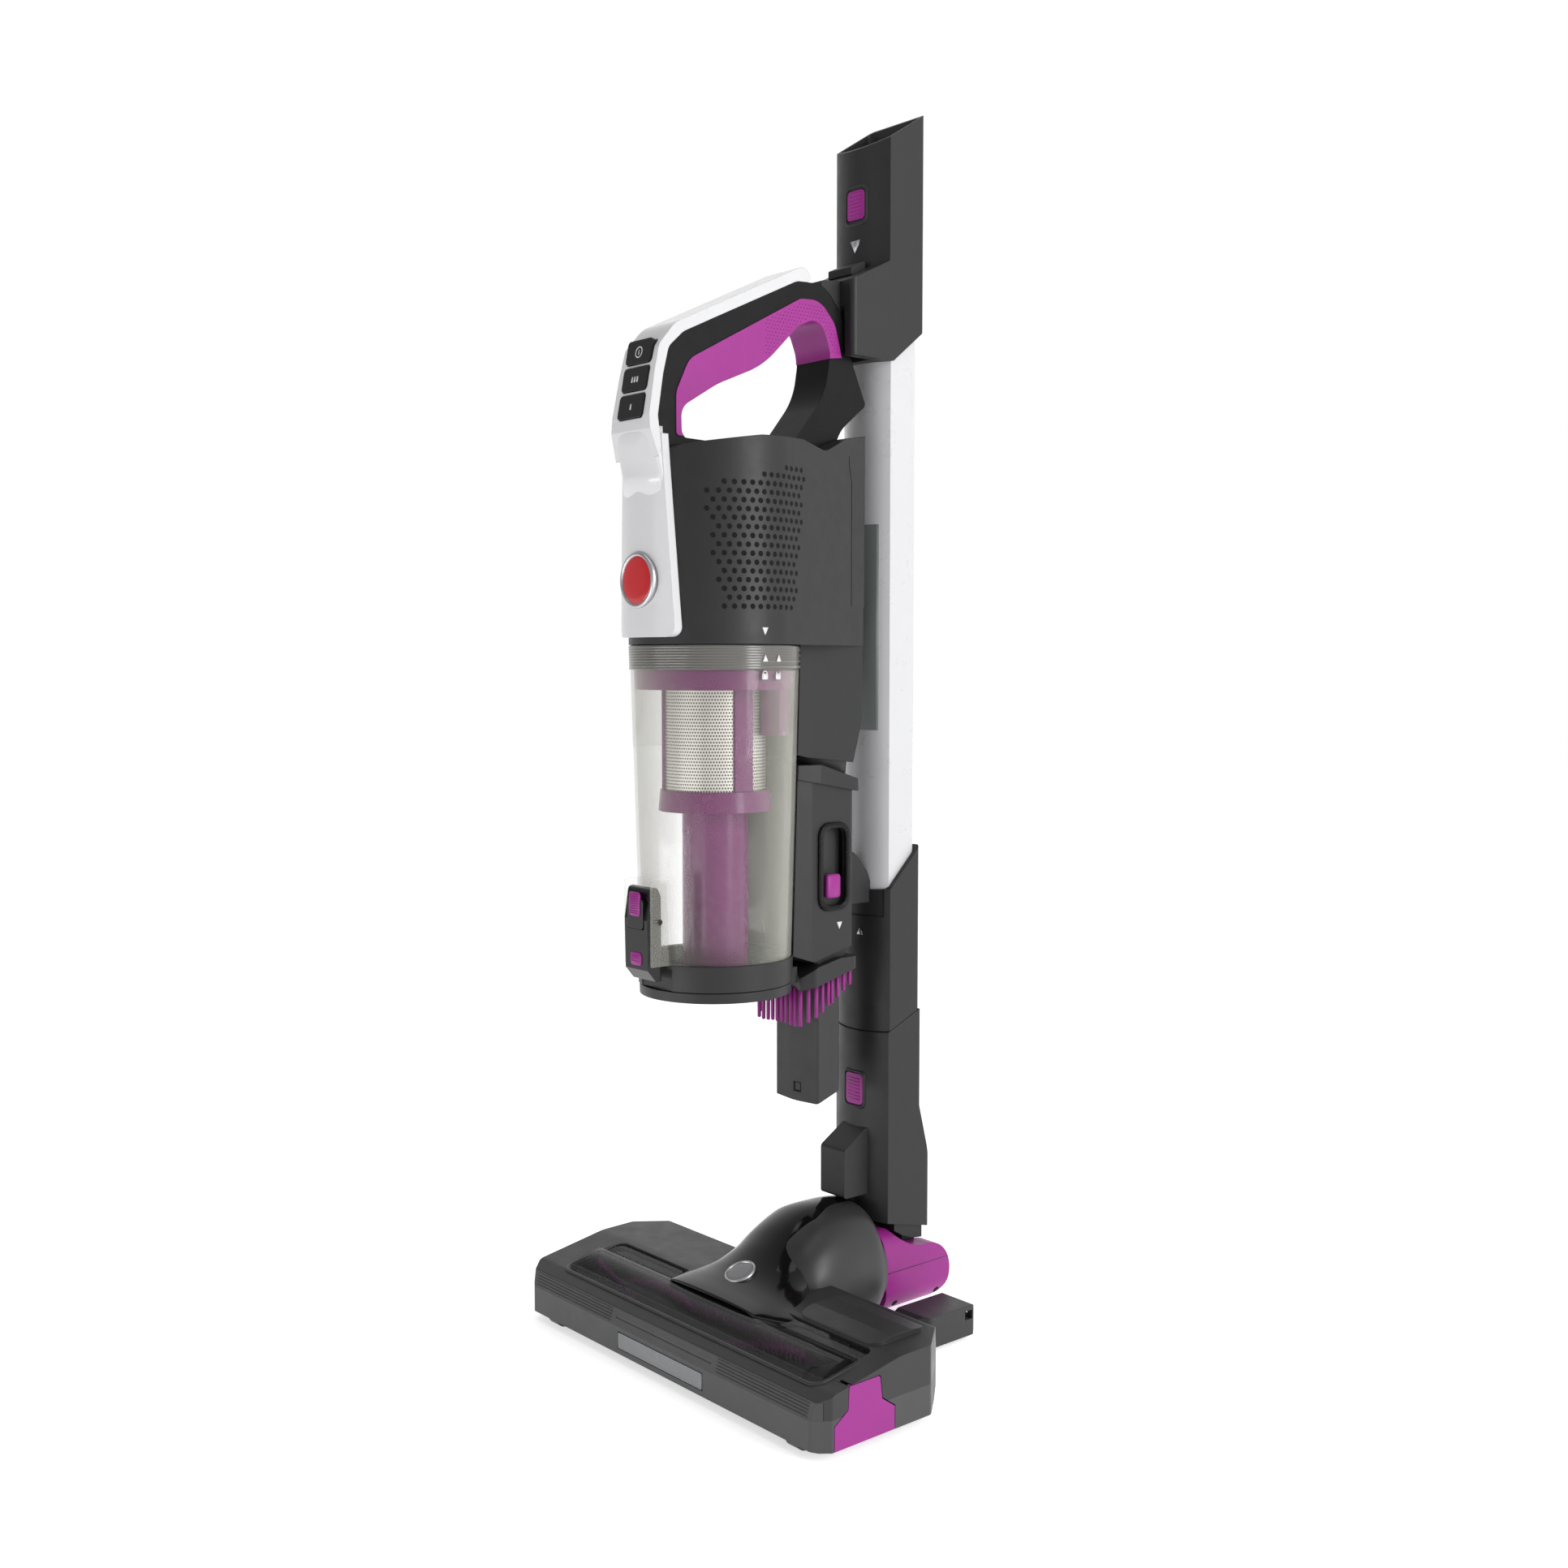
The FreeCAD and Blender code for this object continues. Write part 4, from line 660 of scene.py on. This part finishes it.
arrow = bmesh.new()
shaft = [(-0.8, -1.5), (0.8, -1.5), (0.8, 3.2), (2.6, 3.2), (0.0, 6.4), (-2.6, 3.2), (-0.8, 3.2)]
plate(arrow, shaft, lambda u, v, h: Vector((0.128 + h * MM, (-121.5 + u) * MM + WAND_Y,
                                            (19.0 + v) * MM)), -0.6, -0.02, 0.05)
piece("latch_arrow", "brush_latch", purple_dark, arrow)

# ---- vent holes on both flanks of the motor body: painted-shade discs in moulded rims ------------
VENT_SIDES = 14
VENT_Z, VENT_Y = 410.5, -150.0
ROW_PITCH, COLUMN_PITCH = 4.45, 4.6
body_tree = surface_of("body_shell")
vent_shade = bmesh.new()
vent_rims = bmesh.new()


def polar_ring(spot, radius, lift, sides):
    """Points on a circle drawn on a plane."""
    angles = [k * math.tau / sides for k in range(sides)]
    return [spot(radius * math.cos(a), radius * math.sin(a), lift) for a in angles]


for side in (-1, 1):
    for row in range(18):
        height = VENT_Z + row * ROW_PITCH
        for column in range(17):
            y = VENT_Y + (column + 0.5 * (row % 2)) * COLUMN_PITCH
            if not -145.8 + (471.0 - height) * 0.136 < y < -91.0 + (height - 410.0) * 0.127:
                continue
            if height > 486.0 + 0.23 * (y + 82.0):
                continue
            hit, normal = side_hit(body_tree, side, y, height)
            if hit is None or abs(normal.x) < 0.3:
                continue
            spot = on_plane(hit, *tangents(normal), normal)
            # near-black disc just off the shell: painted shade standing in for the inside of the hole
            skin(vent_shade, [polar_ring(spot, radius, lift, VENT_SIDES)
                         for radius, lift in ((1.2, 0.02), (1.15, 0.05))])
            closed_skin(vent_rims, [polar_ring(spot, radius, lift, VENT_SIDES) for radius, lift in
                                    ((1.5, -0.02), (1.38, 0.1), (1.2, 0.06), (1.19, -0.05))])
piece("vent_hole_shade", "hand_unit", shade_and_seam_black, vent_shade, smooth=False)
piece("vent_rims", "hand_unit", matte_black, vent_rims)


# ---- bin: smoked ribbed collar -------------------------------------------------------------------
def around_bin(radius, degrees, z):
    angle = math.radians(degrees)
    return place(radius * math.sin(angle), BIN_AXIS - radius * math.cos(angle), z)


COLLAR_Z, COLLAR_PITCH = 378.6, 1.38
collar = bmesh.new()
profile = [(44.4, 378.2)]
for i in range(9):
    z = COLLAR_Z + i * COLLAR_PITCH
    grow = 0.03 * i
    profile += [(45.25 + grow, z), (45.42 + grow, z + 0.6), (45.2 + grow, z + 1.2)]
profile += [(44.6, 391.2), (43.9, 391.2), (43.9, 378.2)]
skin(collar, [[around_bin(radius, k * 2.5 - 130.0, z) for radius, z in profile] for k in range(105)])
piece("bin_collar_bands", "bin", smoked, collar)


def on_surface(tree, x, z):
    """Drawing plane on the surface seen from straight in front at (x, z)."""
    hit, normal = tree.ray_cast(place(x, -400.0, z), PLUS_Y)[:2]
    rise = Vector((0.0, -normal.z, normal.y)).normalized()
    if rise.z < 0:
        rise = -rise
    return on_plane(hit, PLUS_X, rise, normal)


def torus_mark(build, to_space, radius, thick, high, gap=0.0, steps=40):
    """Flat ring, or an arc with a gap at the top."""
    rings = []
    for k in range(steps + (1 if gap else 0)):
        angle = math.pi / 2 + gap + (math.tau - 2 * gap) * k / steps
        c, q = math.cos(angle), math.sin(angle)
        rings.append([to_space(r * c, r * q, h) for r, h in (
            (radius - thick, -0.1), (radius - thick, high), (radius + thick, high),
            (radius + thick, -0.1))])
    if gap:
        skin(build, rings)
    else:
        closed_skin(build, rings)


# ---- pads of raised dots on the flap lever -------------------------------------------------------
DOT_ACROSS, DOT_UP = 1.15, 1.2
lever_tree = surface_of("flap_lever")
for name, height, half_u, half_v in (("lever_pad_upper", 258.0, 4.6, 6.2),
                                     ("lever_pad_lower", 229.5, 4.6, 3.4)):
    spot = on_surface(lever_tree, 0.0, height)
    pad = bmesh.new()
    plate(pad, rounded_outline(half_u, half_v, 1.6), spot, -0.3, 0.7, 0.35)
    for column in range(-3, 4):
        for row in range(-4, 5):
            if abs(row) * DOT_UP <= half_v - 1.2:
                dot = [(u + column * DOT_ACROSS, v + row * DOT_UP)
                       for u, v in rounded_outline(0.34, 0.34, 0.33, 1)]
                plate(pad, dot, spot, 0.6, 0.95, 0.1)
    piece(name, "flap_latch", purple, pad)

# generic marks: arrows and padlocks around the bin's joint, power and level marks on the buttons
marks = bmesh.new()


def bin_space(degrees, z, radius):
    return lambda u, v, h: around_bin(radius + h, degrees + math.degrees(u / radius), z + v)


plate(marks, [(1.9, 2.0), (-1.9, 2.0), (0.0, -2.0)], bin_space(86.0, 398.0, 45.55), -0.2, 0.15, 0.05)
piece("body_arrow", "hand_unit", white_gloss, marks)
marks = bmesh.new()
for degrees, gap in ((86.0, 0.0), (97.5, 0.9)):
    spot = bin_space(degrees, 384.5, 45.8)
    plate(marks, [(-1.7, -1.9), (1.7, -1.9), (0.0, 1.9)], spot, -0.3, 0.15, 0.05)
    lock = bin_space(degrees, 375.0, 45.35)
    plate(marks, rounded_outline(1.8, 1.5, 0.3, 2), lock, -0.3, 0.15, 0.05)
    shackle = bin_space(degrees, 376.6, 45.35)
    torus_mark(marks, shackle, 1.25, 0.3, 0.15, gap)
piece("bin_lock_marks", "bin", white_gloss, marks)

BAR_PITCH = 2.2
for node, z in (("button_power", 539.0), ("button_boost", 525.0), ("button_quiet", 511.0)):
    button_tree = surface_of(node)
    spot = on_surface(button_tree, 0.0, z)
    mark = bmesh.new()
    if node == "button_power":
        torus_mark(mark, spot, 2.7, 0.32, 0.1)
        plate(mark, rounded_outline(0.32, 1.4, 0.3, 2), spot, -0.1, 0.1, 0.04)
    else:
        bars = 3 if node == "button_boost" else 1
        for i in range(bars):
            shift = (i - (bars - 1) / 2) * BAR_PITCH
            plate(mark, [(u + shift, v) for u, v in rounded_outline(0.6, 1.6, 0.5, 2)],
                  spot, -0.1, 0.1, 0.04)
    piece(node + "_mark", node.replace("button_", "") + "_button", white_gloss, mark)

# ---- trim: smooth run from the button podium down into the apron ---------------------------------
blend = bmesh.new()
blend_rings = []
for z, front, half, sag in ((500.5, -165.9, 15.9, 0.3), (497.5, -165.8, 16.0, 0.8),
                            (492.0, -165.0, 16.5, 1.6), (485.0, -163.6, 17.0, 2.4),
                            (477.0, -162.3, 17.6, 3.0), (466.0, -161.5, 18.1, 3.6)):
    loop = []
    for k in range(17):
        across = -1 + 2 * k / 16
        loop.append(place(half * across, front + sag * abs(across) ** 2.4
                          + (sag / 4 if k in (0, 16) else 0.0), z))
    loop += [place(half, -157.6, z), place(-half, -157.6, z)]
    blend_rings.append(loop)
skin(blend, blend_rings)
piece("trim_blend", "hand_unit", white_gloss, blend)

# ---- swivel: parting line and screw pockets with painted shade; body: battery parting line -------
seam = bmesh.new()
pocket_shades = bmesh.new()
swivel_tree = surface_of("swivel_lower_shell")
for side in (-1, 1):
    plate(seam, rounded_outline(24.6, 0.28, 0.1, 1),
          lambda u, v, h: place(side * (23.0 + h), 19.4 + u, 32.0 + v), -0.3, 0.05, 0.01)
    for y in (3.0, 37.0):
        hit, normal = side_hit(swivel_tree, side, y, 12.5, 60.0)
        spot = on_plane(hit, *tangents(normal), normal)
        circle = [(2.1 * math.cos(a * math.tau / 20), 2.1 * math.sin(a * math.tau / 20))
                  for a in range(20)]
        # near-black disc: painted shade standing in for the screw pocket's recess
        plate(pocket_shades, circle, spot, -0.3, 0.08, 0.02)
piece("swivel_seam", "swivel", purple_dark, seam)
piece("swivel_screw_pocket_shade", "swivel", shade_and_seam_black, pocket_shades)

shell_tree = surface_of("body_shell", "battery_pack")
seam = bmesh.new()
for side in (-1, 1):
    rings = []
    for z in (413.0, 420.0, 430.0, 440.0, 450.0, 460.0, 470.0, 480.0, 489.0, 494.0):
        hit, normal = side_hit(shell_tree, side, -35.5 if z < 489 else -38.0, z)
        if hit is None:
            continue
        along = Vector((-normal.y, normal.x, 0.0)).normalized()
        rings.append([hit + along * (a * MM) + normal * (b * MM)
                      for a, b in ((-0.3, -0.2), (0.3, -0.2), (0.3, 0.06), (-0.3, 0.06))])
    skin(seam, rings)
piece("battery_seam", "hand_unit", shade_and_seam_black, seam)


# ---- duct: slot frame and pad, arrows, foot of the spine, nozzle pocket --------------------------
def duct_side(u, v, h):
    return place(24.0 + h, -48.5 + u, 270.75 + v)


slot_frame = bmesh.new()
frame_ring(slot_frame, rounded_outline(11.6, 24.6, 7.5), rounded_outline(8.6, 21.4, 5.6), duct_side,
           -0.5, 1.5)
piece("slot_frame", "hand_unit", satin_black, slot_frame)
pad = bmesh.new()
plate(pad, rounded_outline(4.6, 6.1, 1.6), lambda u, v, h: place(24.2 + h, -48.5 + u, 260.0 + v),
      -0.2, 0.5, 0.3)
piece("slot_pad", "slide_button", purple, pad)
mark = bmesh.new()
plate(mark, [(-2.0, 1.8), (2.0, 1.8), (0.0, -2.2)],
      lambda u, v, h: place(24.0 + h, -44.0 + u, 238.0 + v), -0.2, 0.15, 0.05)
piece("slot_arrow", "hand_unit", white_gloss, mark)
foot = bmesh.new()
skin(foot, [[place(x * wide, y, z + (y + 62.0) * slope) for x, y in
             ((-17.0, -33.5 + 1.5 * k), (-19.0, -36.0), (-21.0, -61.0), (21.0, -61.0), (19.0, -36.0),
              (17.0, -33.5 + 1.5 * k))]
            for k, wide, z, slope in ((0, 1.0, 326.0, -0.26), (1, 0.98, 332.5, -0.1),
                                      (2, 0.98, 336.0, 0.0))])
piece("spine_foot", "hand_unit", matte_black, foot)
# square pocket near the nozzle's end, drawn as dark bars: painted shade on its left and lower walls, thin
# painted shade lines along its upper and right edges
slot_shade = bmesh.new()
nozzle_tree = surface_of("nozzle_tube")


def nozzle_face(u, v, h):
    """Point h mm off the front of the nozzle, across u and up v from the pocket's centre."""
    hit = nozzle_tree.ray_cast(place(2.0 + u, -120.0, 145.5 + v), PLUS_Y)[0]
    return hit - PLUS_Y * (h * MM)


for u, v, half_u, half_v in ((-2.2, 0.0, 0.6, 2.8), (0.2, -2.3, 2.9, 0.5), (2.9, 0.0, 0.2, 2.8),
                             (0.2, 2.6, 2.9, 0.2)):
    plate(slot_shade, [(u + a, v + b) for a, b in rounded_outline(half_u, half_v, 0.1, 1)],
          nozzle_face, -0.25, 0.15, 0.03)
piece("nozzle_pocket_shade", "hand_unit", shade_and_seam_black, slot_shade)
mark = bmesh.new()
plate(mark, [(-2.2, -2.0), (2.2, -2.0), (0.0, 2.2)],
      lambda u, v, h: place(4.0 + u, sleeve_front(4.0 + u, 22.0, -3.0, -10.0) - h, 229.0 + v),
      -0.3, 0.3, 0.05)
piece("sleeve_arrow", "wand", silver, mark)

# ---- handle: grip dots, kept clear of the edges --------------------------------------------------
DOT_COLUMN, DOT_ROW = 2.2, 1.9
GRIP_REACH = 40.0        # the rays start this far out to the side
grip_tree = surface_of("handle_grip")
dots = bmesh.new()
for side in (-1, 1):
    for row in range(26):
        for column in range(34):
            y = -88.0 + (column + 0.5 * (row % 2)) * DOT_COLUMN
            z = 530.0 + row * DOT_ROW
            hit, normal = side_hit(grip_tree, side, y, z, GRIP_REACH)
            if hit is None or abs(normal.x) < 0.9:
                continue
            around = ((1.6, 0), (-1.6, 0), (0, 1.6), (0, -1.6))
            if any(side_hit(grip_tree, side, y + dy, z + dz, GRIP_REACH)[0] is None for dy, dz in around):
                continue
            spot = on_plane(hit, PLUS_Y, PLUS_Z, Vector((side, 0.0, 0.0)))
            skin(dots, [polar_ring(spot, radius, lift, 6)
                        for radius, lift in ((0.42, -0.05), (0.34, 0.1), (0.14, 0.14))])
piece("grip_dots", "hand_unit", purple, dots)


# ---- camera, lights and floor --------------------------------------------------------------------
camera_data = bpy.data.cameras.new("camera")
camera_data.sensor_width = 36.0
camera_data.lens = 40.0
camera_data.clip_start = 0.01
camera = bpy.data.objects.new("camera", camera_data)
camera.location = (0.72708, -0.62716, 0.38014)
camera.rotation_euler = (math.radians(86.14), 0.0, math.radians(49.36))
bpy.context.scene.collection.objects.link(camera)
bpy.context.scene.camera = camera


def area_light(name, position, target, size, power):
    data = bpy.data.lights.new(name, "AREA")
    data.shape = "RECTANGLE"
    data.size, data.size_y = size
    data.energy = power
    light = bpy.data.objects.new(name, data)
    light.location = position
    aim = Vector(target) - Vector(position)
    light.rotation_euler = aim.to_track_quat("-Z", "Y").to_euler()
    bpy.context.scene.collection.objects.link(light)


area_light("key_right", (1.9, 0.45, 0.8), (0.0, 0.0, 0.35), (0.6, 1.4), 20.0)
area_light("fill_front", (-0.5, -2.0, 1.0), (0.0, 0.0, 0.3), (0.8, 1.2), 2.5)
area_light("top_soft", (0.1, -0.2, 1.9), (0.0, 0.0, 0.2), (1.4, 1.0), 5.0)
area_light("head_front", (-0.15, -0.95, 0.10), (0.02, -0.1, 0.02), (0.9, 0.12), 2.2)

# white surround: dimmer in front and overhead, brighter to the right
world = bpy.data.worlds.new("studio")
world.use_nodes = True
world_tree = world.node_tree
ambient = world_tree.nodes["Background"]
ambient.inputs["Color"].default_value = (1.0, 1.0, 1.0, 1.0)
sky = add(world_tree, "ShaderNodeSeparateXYZ")
world_tree.links.new(add(world_tree, "ShaderNodeTexCoord").outputs["Generated"], sky.inputs[0])
front_dim = remap(world_tree, sky.outputs["Y"], -0.75, 0.25, 0.25, 1.0)
right_lift = remap(world_tree, sky.outputs["X"], 0.45, 0.95, 0.0, 0.55)
above_dim = remap(world_tree, sky.outputs["Z"], 0.4, 0.95, 1.0, 0.5)
level = calc(world_tree, "ADD", front_dim, right_lift)
world_tree.links.new(calc(world_tree, "MULTIPLY", level, above_dim), ambient.inputs["Strength"])
bpy.context.scene.world = world
bpy.context.scene.view_settings.view_transform = "Standard"

floor_mesh = bpy.data.meshes.new("floor")
floor_build = bmesh.new()
bmesh.ops.create_grid(floor_build, x_segments=8, y_segments=8, size=6.0)
floor_build.to_mesh(floor_mesh)
floor_build.free()
floor = bpy.data.objects.new("floor", floor_mesh)
bpy.context.scene.collection.objects.link(floor)
floor_mat, _, floor_shader = new_material("pale_floor")
floor_shader.inputs["Base Color"].default_value = (0.92, 0.92, 0.92, 1.0)
floor_shader.inputs["Roughness"].default_value = 0.9
floor_shader.inputs["Emission Color"].default_value = (1.0, 1.0, 1.0, 1.0)
floor_shader.inputs["Emission Strength"].default_value = 0.56
floor_mesh.materials.append(floor_mat)
